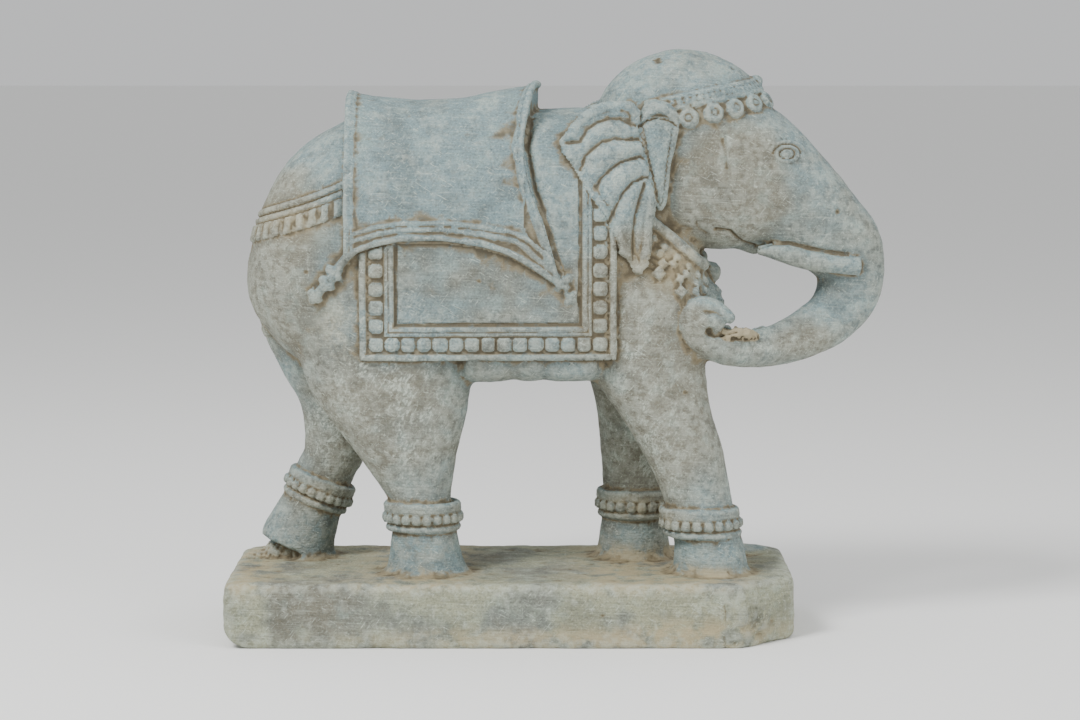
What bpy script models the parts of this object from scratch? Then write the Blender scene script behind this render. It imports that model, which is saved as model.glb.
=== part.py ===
"""A caparisoned elephant walking on a low plinth, carved from one block of grey-green stone.

The block is laid out as a carver would draw it: X runs from the tail to the trunk, Y across the
block (its show side faces -Y) and Z up. The figure is roughed out as overlapping closed forms,
which are fused and rubbed smooth, dressed with cloths, ears and ornaments, fused again, worked
with low relief and then cut down to plain facets.

Figure sizes are in carving units: the figure's height above the plinth is FIGURE_UNITS of them.
"""

import math

import bmesh
import bpy
import numpy as np
from mathutils import Matrix, Vector
from mathutils.bvhtree import BVHTree

# Driving dimensions, in metres
FIGURE_HEIGHT = 0.514  # top of the plinth to the crown of the head
PLINTH_THICKNESS = 0.064
PLINTH_REAR_MARGIN = 0.025  # heel of the trailing foot to the rear end
PLINTH_FRONT_MARGIN = 0.045  # leading foot to the front end
PLINTH_NEAR_MARGIN = 0.042  # near feet to the show face
PLINTH_FAR_MARGIN = 0.031  # far feet to the back face

# Figure proportions, in carving units
FIGURE_UNITS = 514.0
UNIT = FIGURE_HEIGHT / FIGURE_UNITS
SADDLE_LIFT = 8.0  # the upper cloth's thickness on the flanks
BLANKET_LIFT = 4.0  # the lower cloth's thickness
CORD_RADIUS = 4.2
BEAD_PITCH = 16.0
OUTSIDE = 400.0  # this far from the middle plane or the middle of the length is clear of the block

# Working resolution, in carving units
ROUGH_GRAIN = 5.0
GRAIN = 2.6
FACETS = 9500

ACROSS = Vector((0.0, 1.0, 0.0))
SIDES = (-1, 1)  # near, far
STONE = (0.36, 0.38, 0.35, 1.0)


# Curves and closed forms


def curve_through(stations, count):
    """Rows along a smooth curve through the stations, evenly spaced by length."""
    rows = np.array(stations, float)
    steps = np.linalg.norm(np.diff(rows, axis=0), axis=1)
    along = np.concatenate([[0.0], np.cumsum(steps)])
    slopes = np.gradient(rows, along, axis=0)
    wanted = np.linspace(0.0, along[-1], count)
    i = np.clip(np.searchsorted(along, wanted, side="right") - 1, 0, len(rows) - 2)
    gap = (along[i + 1] - along[i])[:, None]
    t = (wanted - along[i])[:, None] / gap
    bend = (t**3 - 2 * t**2 + t) * gap * slopes[i] + (t**3 - t**2) * gap * slopes[i + 1]
    return (2 * t**3 - 3 * t**2 + 1) * rows[i] + (3 * t**2 - 2 * t**3) * rows[i + 1] + bend


def squared(angle, power):
    """Cosine and sine of a superellipse, where a power of 2 is a circle."""
    c, s = math.cos(angle), math.sin(angle)
    return (
        math.copysign(abs(c) ** (2 / power), c),
        math.copysign(abs(s) ** (2 / power), s),
    )


def ring_frames(centres, planes):
    """Two axes of each ring: the one in the side view first, then the one across."""
    across = ACROSS.copy()
    frames = []
    for tangent in np.gradient(centres, axis=0):
        if planes == "level":
            frames.append((Vector((1, 0, 0)), ACROSS))
        elif planes == "upright":
            frames.append((Vector((0, 0, 1)), ACROSS))
        else:
            ahead = Vector(tangent).normalized()
            across = (across - ahead * across.dot(ahead)).normalized()
            frames.append((across.cross(ahead), across))
    return frames


def add_form(block, form):
    """Puts a finished form among the others."""
    bmesh.ops.recalc_face_normals(form, faces=form.faces)
    mesh = bpy.data.meshes.new("form")
    form.to_mesh(mesh)
    form.free()
    block.from_mesh(mesh)
    bpy.data.meshes.remove(mesh)


def skin_rings(block, rings, closed=False):
    """A form skinned over rings of points, capped at its ends unless it closes on itself."""
    form = bmesh.new()
    loops = []
    for ring in rings:
        verts = bmesh.ops.create_circle(form, segments=len(ring), radius=1.0)["verts"]
        for vert, point in zip(verts, ring):
            vert.co = point
        loops.append(list({edge for vert in verts for edge in vert.link_edges}))
    following = loops[1:] + loops[:1] if closed else loops[1:]
    for first, second in zip(loops, following):
        bmesh.ops.bridge_loops(form, edges=first + second)
    if not closed:
        bmesh.ops.contextual_create(form, geom=loops[0])
        bmesh.ops.contextual_create(form, geom=loops[-1])
    add_form(block, form)


def loft(block, stations, planes="path", sides=28, count=24, power=2.0):
    """A closed form through stations of (x, z, y, half height in the side view, half depth)."""
    rows = curve_through(stations, count)
    centres = rows[:, [0, 2, 1]]
    turns = [squared(2 * math.pi * i / sides, power) for i in range(sides)]
    rings = []
    for row, centre, (up, across) in zip(rows, centres, ring_frames(centres, planes)):
        rings.append([Vector(centre) + up * (c * row[3]) + across * (s * row[4]) for c, s in turns])
    skin_rings(block, rings)


def tube(block, points, radius, sides=8):
    """A round cord through points in space."""
    stations = [(p.x, p.z, p.y, radius, radius) for p in points]
    loft(block, stations, sides=sides, count=2 * len(points))


def ball(block, centre, radii, smoothness=2):
    """An ellipsoid at (x, z, y) with its half sizes along X, Z and Y."""
    x, z, y = centre
    place = Matrix.Translation((x, y, z)) @ Matrix.Diagonal((radii[0], radii[2], radii[1], 1.0))
    bmesh.ops.create_icosphere(block, subdivisions=smoothness, radius=1.0, matrix=place)


def studs(block, places, size):
    """Worn square studs, each on its own place matrix."""
    form = bmesh.new()
    for place in places:
        cube = bmesh.ops.create_cube(form, size=1.0, matrix=place @ Matrix.Diagonal((*size, 1.0)))
        edges = list({edge for vert in cube["verts"] for edge in vert.link_edges})
        bmesh.ops.bevel(form, geom=edges, offset=min(size) * 0.2, affect="EDGES", segments=1)
    add_form(block, form)


# The rough figure

TORSO = (  # x, top, bottom, half depth
    (-292, 302, 272, 16),
    (-286, 325, 257, 40),
    (-275, 363, 240, 62),
    (-255, 400, 217, 78),
    (-228, 425, 199, 88),
    (-190, 446, 190, 95),
    (-140, 452, 188, 97),
    (-70, 454, 191, 97),
    (0, 452, 192, 95),
    (50, 453, 192, 91),
    (80, 452, 196, 84),
    (105, 436, 201, 68),
    (130, 376, 209, 52),
    (148, 335, 222, 46),
    (158, 307, 234, 40),
    (169, 291, 246, 30),
    (181, 272, 256, 12),
)
TORSO_POWER = 2.5
NECK = (
    (20, 352, 0, 92, 82),
    (70, 374, 0, 88, 66),
    (115, 392, 0, 74, 46),
    (150, 402, 0, 62, 40),
)
CROWN_CENTRE = (141, 430, 0)
CROWN_RADII = (92, 85, 64)
FACE = (  # brow to trunk
    (110, 405, 0, 80, 58),
    (160, 399, 0, 80, 63),
    (205, 387, 0, 74.5, 61),
    (245, 368, 0, 56.5, 51),
    (280, 340, 0, 45, 42),
    (302, 315, 0, 40.5, 35),
    (309.5, 293, 0, 34, 31.5),
    (306, 272, -2, 31.5, 30),
    (291.5, 251.5, -8, 28, 27),
    (266, 235.5, -20, 24.5, 24),
    (238, 226, -36, 20.5, 21),
    (205, 222, -52, 18, 18.5),
    (174, 227, -64, 17, 17),
    (152, 239, -70, 15.5, 15.5),
)
CURL = (  # the end of the trunk, rolled against the near leg
    (174, 227, -64, 16.5, 17),
    (152, 238, -70, 15.5, 15.5),
    (144, 252, -72, 13.5, 14.5),
    (152, 264, -72, 11, 13.5),
    (166, 265, -72, 9, 12.5),
    (178, 259, -72, 7.5, 11),
    (188, 252, -72, 4.5, 8),
)
CURL_HEART = (164, 247, -70)
JAW = (
    (150, 347, 0, 26, 42),
    (178, 340, 0, 18, 36),
    (198, 329, 0, 12, 26),
    (210, 319, 0, 8, 16),
    (218, 313, 0, 5, 10),
)
LEGS = {
    "near_front": (
        (88, 350, -22, 46, 30),
        (96, 318, -34, 60, 40),
        (101, 285, -40, 63, 45),
        (106, 213, -43, 57, 42),
        (109, 191, -44, 55, 40),
        (124.5, 156, -46, 45.5, 38),
        (140, 121, -46, 40.5, 36),
        (150.5, 92, -46, 36, 34),
        (157, 67, -46, 34, 33),
        (161, 50, -46, 33.5, 32.5),
        (166, 34, -46, 34, 33),
        (168.5, 4, -46, 38, 37),
        (168.5, -14, -46, 40, 39),
    ),
    "far_front": (
        (88, 340, 22, 46, 30),
        (95, 285, 40, 61, 45),
        (98, 200, 44, 54, 42),
        (100, 159, 47, 45, 38),
        (101, 118, 49, 41, 36),
        (98, 70, 50, 35, 33),
        (96, 41, 50, 34, 33),
        (95.5, 2, 50, 38.5, 37),
        (95.5, -14, 50, 40, 39),
    ),
    "near_hind": (
        (-160, 345, -20, 70, 40),
        (-165, 290, -36, 91, 58),
        (-155, 220, -40, 86, 53),
        (-148, 176, -43, 78, 47),
        (-141, 151, -44, 67, 43),
        (-133, 121, -45, 51.5, 38),
        (-125, 92, -45.5, 38.5, 34),
        (-120, 70, -46, 30.5, 31),
        (-116, 52, -46, 30.5, 31),
        (-114.5, 34, -46, 33.5, 33),
        (-114, 14, -46, 36.5, 35),
        (-112, 0, -46, 41.5, 38),
        (-112, -14, -46, 43, 40),
    ),
    "far_hind": (
        (-195, 345, 20, 60, 40),
        (-213, 290, 36, 75, 58),
        (-210, 242, 38, 75, 56),
        (-205, 206, 42, 66, 50),
        (-202, 180, 44, 55, 46),
        (-203, 159, 46, 43, 42),
        (-205, 131, 48, 35.5, 36),
        (-209, 110, 49, 32, 33),
        (-215, 88, 50, 30, 31),
    ),
}
GIRTH_ROLLS = ((-74, -27), (-27, 3), (3, 56))  # rear and front of each roll of the belly strap
GIRTH_SHAPE = (215, 25.5, 87)  # its centre height, half height and half depth
TRAILING_TILT = math.radians(22)  # the far hind foot stands on its toe
TRAILING_ANKLE = (-228.5, 67, 50)
TRAILING_FOOT = ((-28, 30, 31), (0, 30, 31), (24, 33.5, 33), (62, 39.5, 37))  # way down, half sizes
TUSK = (
    (214, 318, 34, 4.5, 6),
    (230, 317, 36, 8, 8),
    (248, 313, 37, 10.5, 9.5),
    (270, 307, 37, 10, 9.5),
    (292, 304, 36, 9, 9),
    (315, 302, 34, 8.5, 8.5),
)
EYE = (241, 413)


def rough_out(block):
    rows = [(x, (top + low) / 2, 0, (top - low) / 2, deep) for x, top, low, deep in TORSO]
    loft(block, rows, planes="upright", sides=40, count=40, power=TORSO_POWER)
    loft(block, NECK, sides=32, count=12)
    ball(block, CROWN_CENTRE, CROWN_RADII, smoothness=4)
    loft(block, FACE, sides=28, count=50, power=2.6)
    loft(block, JAW, sides=20, count=10)
    for rows in LEGS.values():
        loft(block, rows, planes="level", sides=28, count=30, power=2.1)
    middle, high, deep = GIRTH_SHAPE
    for rear, front in GIRTH_ROLLS:
        steps = ((0.0, -4), (0.12, -0.8), (0.3, 0), (0.7, 0), (0.88, -0.8), (1.0, -4))
        roll = [(rear + (front - rear) * at, middle, 0, high + dip, deep + dip) for at, dip in steps]
        loft(block, roll, planes="upright", count=14, power=4.0)
    x, z, y = TRAILING_ANKLE
    back, down = math.sin(TRAILING_TILT), math.cos(TRAILING_TILT)
    foot = [(x - s * back, z - s * down, y, a, b) for s, a, b in TRAILING_FOOT]
    loft(block, foot, sides=28, count=12, power=2.1)


# The plinth

FOOTPRINT = (-284, 206, -84, 87)  # rear, front, near and far edges of the four feet
CORNER_RADII = {(-1, -1): 10, (-1, 1): 30, (1, -1): 58, (1, 1): 26}
MOUND = ((220, -3, 84), (44, 10, 34))  # the block's rough skin left on at the far front corner


def carve_plinth(block):
    rear = FOOTPRINT[0] - PLINTH_REAR_MARGIN / UNIT
    front = FOOTPRINT[1] + PLINTH_FRONT_MARGIN / UNIT
    near = FOOTPRINT[2] - PLINTH_NEAR_MARGIN / UNIT
    far = FOOTPRINT[3] + PLINTH_FAR_MARGIN / UNIT
    thick = PLINTH_THICKNESS / UNIT
    heart = Vector(((front + rear) / 2, (far + near) / 2, -thick / 2))
    place = Matrix.Translation(heart) @ Matrix.Diagonal((front - rear, far - near, thick, 1.0))
    form = bmesh.new()
    verts = bmesh.ops.create_cube(form, size=1.0, matrix=place)["verts"]
    edges = {edge for vert in verts for edge in vert.link_edges}
    upright = [edge for edge in edges if abs(edge.verts[0].co.z - edge.verts[1].co.z) > thick / 2]
    for edge in upright:
        corner = edge.verts[0].co - heart
        radius = CORNER_RADII[(int(math.copysign(1, corner.x)), int(math.copysign(1, corner.y)))]
        bmesh.ops.bevel(form, geom=[edge], offset=radius, affect="EDGES", segments=8, profile=0.5)
    add_form(block, form)
    ball(block, *MOUND, smoothness=3)


# Cloths

SADDLE_REAR = ((0.0, -188), (1.0, -188))  # share of the way down, x
SADDLE_FRONT = ((0.0, -2), (0.35, -15), (0.55, -20), (0.75, -13), (0.9, 2), (1.0, 17))
SADDLE_TOP_LIFT = ((0.0, 25), (0.12, 18), (0.35, 11), (0.6, 13), (0.85, 23), (1.0, 27.5))
SADDLE_FLARE = 9.0  # how far its front edge stands off the neck
SADDLE_HEM = (
    (-188, 314),
    (-178, 322),
    (-159, 329),
    (-135, 334),
    (-96, 334),
    (-58, 329),
    (-29, 320),
    (-5, 306),
    (17, 290),
)
BLANKET_REAR = -175
BLANKET_FRONT = 73
BLANKET_HEM = 215
WITHERS = (15, 400)  # x and height past which the lower cloth also shows on top of the neck
SECTIONS = curve_through(TORSO, 160)


def torso_section(x):
    """Centre height, half height and half depth of the body at x."""
    top, low, deep = (float(np.interp(x, SECTIONS[:, 0], SECTIONS[:, i])) for i in (1, 2, 3))
    return (top + low) / 2, (top - low) / 2, deep


def read_off(pairs, at):
    return float(np.interp(at, [p[0] for p in pairs], [p[1] for p in pairs]))


def on_body(x, turn, lift):
    """A point over the body's section at x, turned from the top towards the far side."""
    middle, high, deep = torso_section(x)
    c, s = squared(turn, TORSO_POWER)
    return Vector((x, s * (deep + lift), middle + c * (high + lift)))


def turn_down_to(x, height, lift):
    """The turn at which the body's section, lifted, comes down to a height."""
    middle, high, _ = torso_section(x)
    share = max(-1.0, min(1.0, (height - middle) / (high + lift)))
    return math.acos(math.copysign(abs(share) ** (TORSO_POWER / 2), share))


def saddle_point(forward, down, skin):
    """A point of the upper cloth; down runs from -1 at the near hem to 1 at the far one."""
    depth = abs(down)
    x = (1 - forward) * read_off(SADDLE_REAR, depth) + forward * read_off(SADDLE_FRONT, depth)
    top = read_off(SADDLE_TOP_LIFT, forward)
    lift = top + (SADDLE_LIFT - top) * min(1.0, depth / 0.45) ** 2
    lift += SADDLE_FLARE * max(0.0, (forward - 0.85) / 0.15) ** 2 * (1 - depth) * min(1.0, depth * 4)
    limit = turn_down_to(x, read_off(SADDLE_HEM, x), lift)
    return on_body(x, down * limit, lift)


def blanket_point(forward, down, skin):
    """A point of the lower cloth, which hangs almost straight below the widest of the body."""
    x = BLANKET_REAR + (BLANKET_FRONT - BLANKET_REAR) * forward
    point = on_body(x, down * turn_down_to(x, BLANKET_HEM, BLANKET_LIFT), BLANKET_LIFT)
    middle, _, deep = torso_section(x)
    if point.z < middle:
        side = 1 if down > 0 else -1
        fall = (middle - point.z) / (middle - BLANKET_HEM)
        hung = (deep + BLANKET_LIFT) * (1 - 0.05 * fall**2)
        point.y = side * max(hung, side * skin(x, point.z, side) + BLANKET_LIFT)
    return point


def drape(block, point_at, skin, sink, steps):
    """A cloth as a closed slab: a grid laid over the body, with its underside sunk into it."""
    form = bmesh.new()
    grid = bmesh.ops.create_grid(form, x_segments=steps[0], y_segments=steps[1], size=1.0)["verts"]
    for vert in grid:
        vert.co = point_at((vert.co.x + 1) / 2, vert.co.y, skin)
    under = bmesh.ops.duplicate(form, geom=grid + form.faces[:])
    lower = [item for item in under["geom"] if isinstance(item, bmesh.types.BMVert)]
    for vert in lower:
        middle, high, deep = torso_section(vert.co.x)
        vert.co.y *= 1 - sink / deep
        vert.co.z += (middle - vert.co.z) * sink / high
    rims = [edge for edge in form.edges if edge.is_boundary]
    bmesh.ops.bridge_loops(form, edges=rims)
    add_form(block, form)


def carve_cloths(block, skin):
    drape(block, blanket_point, skin, 40, (24, 34))
    drape(block, saddle_point, skin, 24, (26, 34))
    for side in SIDES:
        for inset, thick in ((0.0, CORD_RADIUS), (0.045, CORD_RADIUS * 0.7)):
            hem = [saddle_point(i / 20, side * (1 - inset), skin) for i in range(21)]
            tube(block, hem, thick)
    for forward in (0.0, 1.0):
        tube(block, [saddle_point(forward, -1 + i / 14, skin) for i in range(29)], CORD_RADIUS)


# Tassels, ears and jewels

REAR_TASSEL = ((-186, 318), (-193, 309), (-202, 298), (-209, 288), (-216, 280), (-222, 274))
REAR_KNOTS = ((-200, 300, 7.5), (-207, 290, 7), (-219, 277, 6.5))
FRONT_TASSEL = ((13, 298), (19, 291), (25, 283), (30, 275))
FRONT_KNOTS = ((20, 291, 8.5), (29, 277, 7.5))
EAR = (
    (96, 437),
    (95, 454),
    (88, 462),
    (79, 463),
    (66, 463),
    (53, 459),
    (41, 452),
    (29, 439),
    (18, 426),
    (22, 416),
    (30, 404),
    (37, 393),
    (45, 378),
    (54, 365),
    (61, 355),
    (69, 341),
    (77, 320),
    (85, 312),
    (92, 300),
    (98, 300),
    (103, 308),
    (105, 322),
    (106, 338),
    (108, 354),
    (111, 370),
    (111, 380),
    (107, 394),
    (101, 413),
)
EAR_HEART = (76, 402)
EAR_RISE = 14.0
PLEATS = (
    ((25, 425), (38, 427), (45, 438), (54, 444), (65, 448), (77, 448), (92, 441)),
    ((38, 399), (43, 412), (51, 420), (60, 426), (72, 429), (83, 428), (95, 428)),
    ((54, 383), (58, 390), (67, 399), (77, 406), (87, 409), (96, 411), (104, 408)),
    ((66, 349), (74, 366), (80, 377), (90, 387), (101, 391), (109, 391)),
    ((101, 385), (96, 369), (92, 353), (90, 336), (89, 312)),
)
LEAF = (  # the long pendant in front of the ear
    (94, 441),
    (101, 446),
    (111, 449),
    (121, 448),
    (129, 445),
    (134, 441),
    (132, 427),
    (127, 404),
    (124, 376),
    (122, 363),
    (117, 357),
    (111, 364),
    (107, 384),
    (101, 408),
    (96, 428),
)
LEAF_HEART = (115, 415)
LEAF_CAP = (
    (94, 441),
    (97, 452),
    (103, 462),
    (114, 465),
    (124, 463),
    (132, 455),
    (135, 442),
    (128, 447),
    (120, 450),
    (110, 450),
    (101, 447),
)
LEAF_CAP_HEART = (114, 457)
BAND_HEART = Vector((160, 0, 463))  # a point on the headband's lower roll, inside the head
BAND_SLOPE = math.radians(11.5)
BAND_REACH = 128
MEDALLIONS = (15, 38, 61, 84, 107)  # turns from the front, in degrees
NECKLACE_HEART = Vector((80, 0, 372))
NECKLACE_SLOPE = math.radians(-40)
TAIL = ((348, 6), (325, 6.5), (300, 6.5), (278, 6), (260, 5.5), (246, 5.5))


def carve_tassels(block, skin):
    for side in SIDES:
        for path, thick in ((REAR_TASSEL, 5.0), (FRONT_TASSEL, 5.5)):
            tube(block, [Vector((x, skin(x, z, side) + 3 * side, z)) for x, z in path], thick)
        for x, z, size in REAR_KNOTS + FRONT_KNOTS:
            ball(block, (x, z, skin(x, z, side) + 4 * side), (size, size, size * 0.8))


def pillow(block, outline, heart, rise, skin, side, level=0.0, samples=44, sink=14):
    """A padded slab with this outline on the figure's flank; level 1 keeps its face flat."""
    border = curve_through(list(outline) + [outline[0]], samples + 1)[:-1]
    middle = np.array(heart, float)
    steps = [(-sink, 1.0), (rise * 0.55, 1.0)]
    for k in range(1, 6):
        steps.append((rise * (0.55 + 0.45 * math.sin(k / 5 * math.pi / 2)), 1 - k / 5 * 0.96))
    flat = skin(heart[0], heart[1], side)
    rings = []
    for lift, share in steps:
        ring = []
        for x, z in middle + (border - middle) * share:
            ground = skin(x, z, side) * (1 - level) + flat * level
            ring.append(Vector((x, ground + side * lift, z)))
        rings.append(ring)
    skin_rings(block, rings)


def carve_ears(block, skin):
    for side in SIDES:
        pillow(block, EAR, EAR_HEART, EAR_RISE, skin, side, level=0.4)
        pillow(block, LEAF, LEAF_HEART, 15.0, skin, side, level=0.8, samples=36)
        pillow(block, LEAF_CAP, LEAF_CAP_HEART, 15.0, skin, side, level=0.8, samples=30)


def around(core, heart, slope, drop, turns):
    """Places on the core where a sloping plane, moved down by drop, meets it.

    Turns are in degrees from the front. Each place has its Z axis on the outward normal."""
    ahead = Vector((math.cos(slope), 0, math.sin(slope)))
    below = Vector((math.sin(slope), 0, -math.cos(slope)))
    found = []
    for turn in turns:
        angle = math.radians(turn)
        way = ahead * math.cos(angle) + ACROSS * math.sin(angle)
        hit, normal, _, _ = core.ray_cast(heart + below * drop + way * 200, -way)
        side = normal.cross(below).normalized()
        axes = Matrix((side, side.cross(normal), normal)).transposed().to_4x4()
        found.append(Matrix.Translation(hit) @ axes)
    return found


def spread(reach, count):
    return [-reach + 2 * reach * i / (count - 1) for i in range(count)]


def bead(block, place, size, out=0.0):
    at = place @ Vector((0, 0, out))
    ball(block, (at.x, at.z, at.y), (size, size, size))


def carve_headband(block, core):
    beads = bmesh.new()
    for drop, thick in ((0, 3.2), (-10.5, 2.6)):
        roll = around(core, BAND_HEART, BAND_SLOPE, drop, spread(BAND_REACH, 45))
        tube(block, [place.translation for place in roll], thick)
    for place in around(core, BAND_HEART, BAND_SLOPE, -5.2, spread(BAND_REACH - 3, 41)):
        bead(beads, place, 3.4)
    turns = [side * turn for side in SIDES for turn in MEDALLIONS]
    for place in around(core, BAND_HEART, BAND_SLOPE, 11.5, turns):
        carve_medallion(block, place)
        bead(beads, place, 4.0, 1.0)
    knob = around(core, BAND_HEART, BAND_SLOPE, -8, (0,))[0]
    bead(beads, knob, 7.0, 1.0)
    add_form(block, beads)
    clasps = around(core, BAND_HEART, BAND_SLOPE, -6, (-BAND_REACH - 5, BAND_REACH + 5))
    studs(block, clasps, (13, 13, 8))


def carve_medallion(block, place, radius=7.6, thick=2.2):
    rings = []
    for i in range(16):
        turn = 2 * math.pi * i / 16
        out = Vector((math.cos(turn), math.sin(turn), 0))
        ring = []
        for j in range(8):
            bend = 2 * math.pi * j / 8
            lift = Vector((0, 0, 1.2 + 1.5 * thick * math.sin(bend)))
            ring.append(place @ (out * (radius + thick * math.cos(bend)) + lift))
        rings.append(ring)
    skin_rings(block, rings, closed=True)


def carve_necklace(block, core):
    roll = around(core, NECKLACE_HEART, NECKLACE_SLOPE, 0, spread(100, 33))
    tube(block, [place.translation for place in roll], 5.5)
    beads = bmesh.new()
    for drop, size, reach, count in ((10, 4.6, 88, 35), (20, 5.0, 82, 31), (32, 8.0, 64, 15)):
        for place in around(core, NECKLACE_HEART, NECKLACE_SLOPE, drop, spread(reach, count)):
            bead(beads, place, size)
    add_form(block, beads)


def carve_tail(block, core):
    path = []
    for z, radius in TAIL:
        hit = core.ray_cast(Vector((-OUTSIDE, 0, z)), Vector((1, 0, 0)))[0]
        path.append((hit.x + radius * 0.8, z, 0, radius, radius))
    loft(block, path, sides=10, count=16)
    x, z = path[-1][:2]
    ball(block, (x + 3, z - 4, 0), (8, 15, 9))


ANKLETS = (  # x, z, y, tilt, lean of the leg, half length, half depth
    (-117, 55, -46, 0.0, -0.05, 36.0, 34.5),
    (159, 49, -46, 0.0, -0.16, 38.0, 35.5),
    (97, 54, 50, 0.0, 0.0, 38.0, 36.0),
    (-227.5, 67, 50, TRAILING_TILT, 0.0, 33.5, 33.5),
)
ANKLET_STUDS = 22


def carve_anklets(block):
    """Each anklet is a roll, a row of square studs and a thinner roll round the leg."""
    for x, z, y, tilt, lean, long, deep in ANKLETS:
        level = Vector((math.cos(tilt), 0, -math.sin(tilt)))
        up = Vector((math.sin(tilt), 0, math.cos(tilt)))
        heart = Vector((x, y, z))

        def round_leg(rise, out, turn):
            centre = heart + up * rise + level * (lean * rise)
            ahead = level * ((long + out) * math.cos(turn))
            return centre + ahead + ACROSS * ((deep + out) * math.sin(turn))

        for rise, out, thick in ((10.5, -1.0, 4.8), (0, -2.5, 4.5), (-10.5, -1.5, 4.2)):
            rings = []
            for i in range(32):
                turn = 2 * math.pi * i / 32
                at = round_leg(rise, out, turn)
                away = (at - round_leg(rise, out, turn + math.pi)).normalized()
                bends = [2 * math.pi * j / 8 for j in range(8)]
                rings.append([at + away * (thick * math.cos(b)) + up * (thick * math.sin(b)) for b in bends])
            skin_rings(block, rings, closed=True)
        places = []
        for i in range(ANKLET_STUDS):
            turn = 2 * math.pi * i / ANKLET_STUDS
            at = round_leg(0, 0, turn)
            away = (at - round_leg(0, 0, turn + math.pi)).normalized()
            axes = Matrix((away, up.cross(away), up)).transposed().to_4x4()
            places.append(Matrix.Translation(at) @ axes)
        studs(block, places, (8.5, 7.0, 8.5))


def carve_trunk_end(block):
    for side in SIDES:
        loft(block, [(x, z, side * y, a, b) for x, z, y, a, b in TUSK], sides=14, count=12)
    loft(block, CURL, sides=20, count=30)
    ball(block, CURL_HEART, (17, 13, 12), smoothness=3)


MORTAR = (  # old mortar left in the curl of the trunk and under the raised heel
    ((180, 238, -70), (6, 4.5, 7)),
    ((188, 241, -71), (6, 5, 7)),
    ((197, 240, -68), (7, 4.5, 8)),
    ((205, 237, -66), (5, 4, 6)),
    ((-293, 0, 52), (10, 6, 13)),
    ((-281, 1, 56), (10, 8, 12)),
    ((-270, 1, 48), (9, 9, 14)),
    ((-261, 1, 55), (9, 8, 15)),
)


def carve_mortar(block):
    for centre, radii in MORTAR:
        ball(block, centre, radii)


# Relief, worked on the fused surface


def line_distance(x, z, line):
    """Distance of each point of the side view to a line of points."""
    points = np.column_stack([x, z])
    best = np.full(len(points), 1e9)
    for start, end in zip(np.array(line[:-1], float), np.array(line[1:], float)):
        way = end - start
        t = np.clip((points - start) @ way / (way @ way), 0, 1)
        best = np.minimum(best, np.linalg.norm(points - start - t[:, None] * way, axis=1))
    return best


def inside(x, z, outline):
    """Whether each point of the side view lies within a closed outline."""
    found = np.zeros(len(x), bool)
    for (x0, z0), (x1, z1) in zip(outline, outline[1:] + outline[:1]):
        crosses = (z0 > z) != (z1 > z)
        at = x0 + (z - z0) / (z1 - z0 + 1e-9) * (x1 - x0)
        found ^= crosses & (x < at)
    return found


def rise_between(value, low, high):
    t = np.clip((value - low) / (high - low), 0, 1)
    return t * t * (3 - 2 * t)


def ridge(value, middle, half):
    """1 on the top of a round rail, falling to 0 at its edges."""
    return np.sqrt(np.clip(1 - ((value - middle) / half) ** 2, 0, 1))


def blanket_relief(x, z, flank):
    """The lower cloth's border: an outer rail, beads in a channel and an inner rail."""
    edge = np.minimum(np.minimum(x - BLANKET_REAR, BLANKET_FRONT - x), z - BLANKET_HEM)
    height = 2.4 * ridge(edge, 3.5, 4.5) + 2.0 * ridge(edge, 27, 4) - 1.6 * ridge(edge, 33, 2.2)
    channel = 15.5
    first, last = BLANKET_REAR + channel, BLANKET_FRONT - channel
    columns = 1 + round((last - first) / BEAD_PITCH)
    low = BLANKET_HEM + channel
    beads = [(first + i * (last - first) / (columns - 1), low) for i in range(columns)]
    beads += [(x0, low + i * BEAD_PITCH * 1.12) for x0 in (first, last) for i in range(1, 11)]
    for bead_x, bead_z in beads:
        reach = (np.abs(x - bead_x) ** 3 + np.abs(z - bead_z) ** 3 + 1e-9) ** (1 / 3)
        height = np.maximum(height, 3.6 * flank * np.sqrt(np.clip(1 - (reach / 7.4) ** 4, 0, 1)))
    return height * (edge > -0.5) * (edge < 38)


def crupper_relief(x, y, z):
    """Two cords and a fringe of tabs round the rump."""
    turn = np.degrees(np.arctan2(y / 90, -(x + 190) / 100))
    below = 352 + 33 * (np.abs(turn) / 90) ** 2 - z
    height = 2.6 * ridge(below, 0, 3.5) + 2.2 * ridge(below, 8, 3.5)
    tabs = np.clip(0.35 + 0.9 * np.cos(np.radians(turn) * 36), 0, 1)
    height += rise_between(below, 12, 14) * (1 - rise_between(below, 27, 30)) * (1.0 + 2.2 * tabs)
    return height * (np.abs(turn) < 92)


def ear_relief(x, z):
    gap = np.min([line_distance(x, z, line) for line in PLEATS], axis=0)
    return 2.6 * (1 - np.exp(-((gap / 6.5) ** 2))) - 3.4 * np.exp(-((gap / 2.2) ** 2))


def eye_relief(x, z):
    gap = np.hypot(x - EYE[0], z - EYE[1])
    lid_gap = np.hypot((x - EYE[0]) / 1.3, z - EYE[1] + 3)
    lid = 2.2 * ridge(lid_gap, 12.5, 2.2) * (z > EYE[1] + 1)
    return 3.4 * ridge(gap, 0, 5) + 2.0 * ridge(gap, 8, 2) + lid


MOUTH = ((172, 339), (186, 337), (196, 327), (213, 320))


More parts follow.
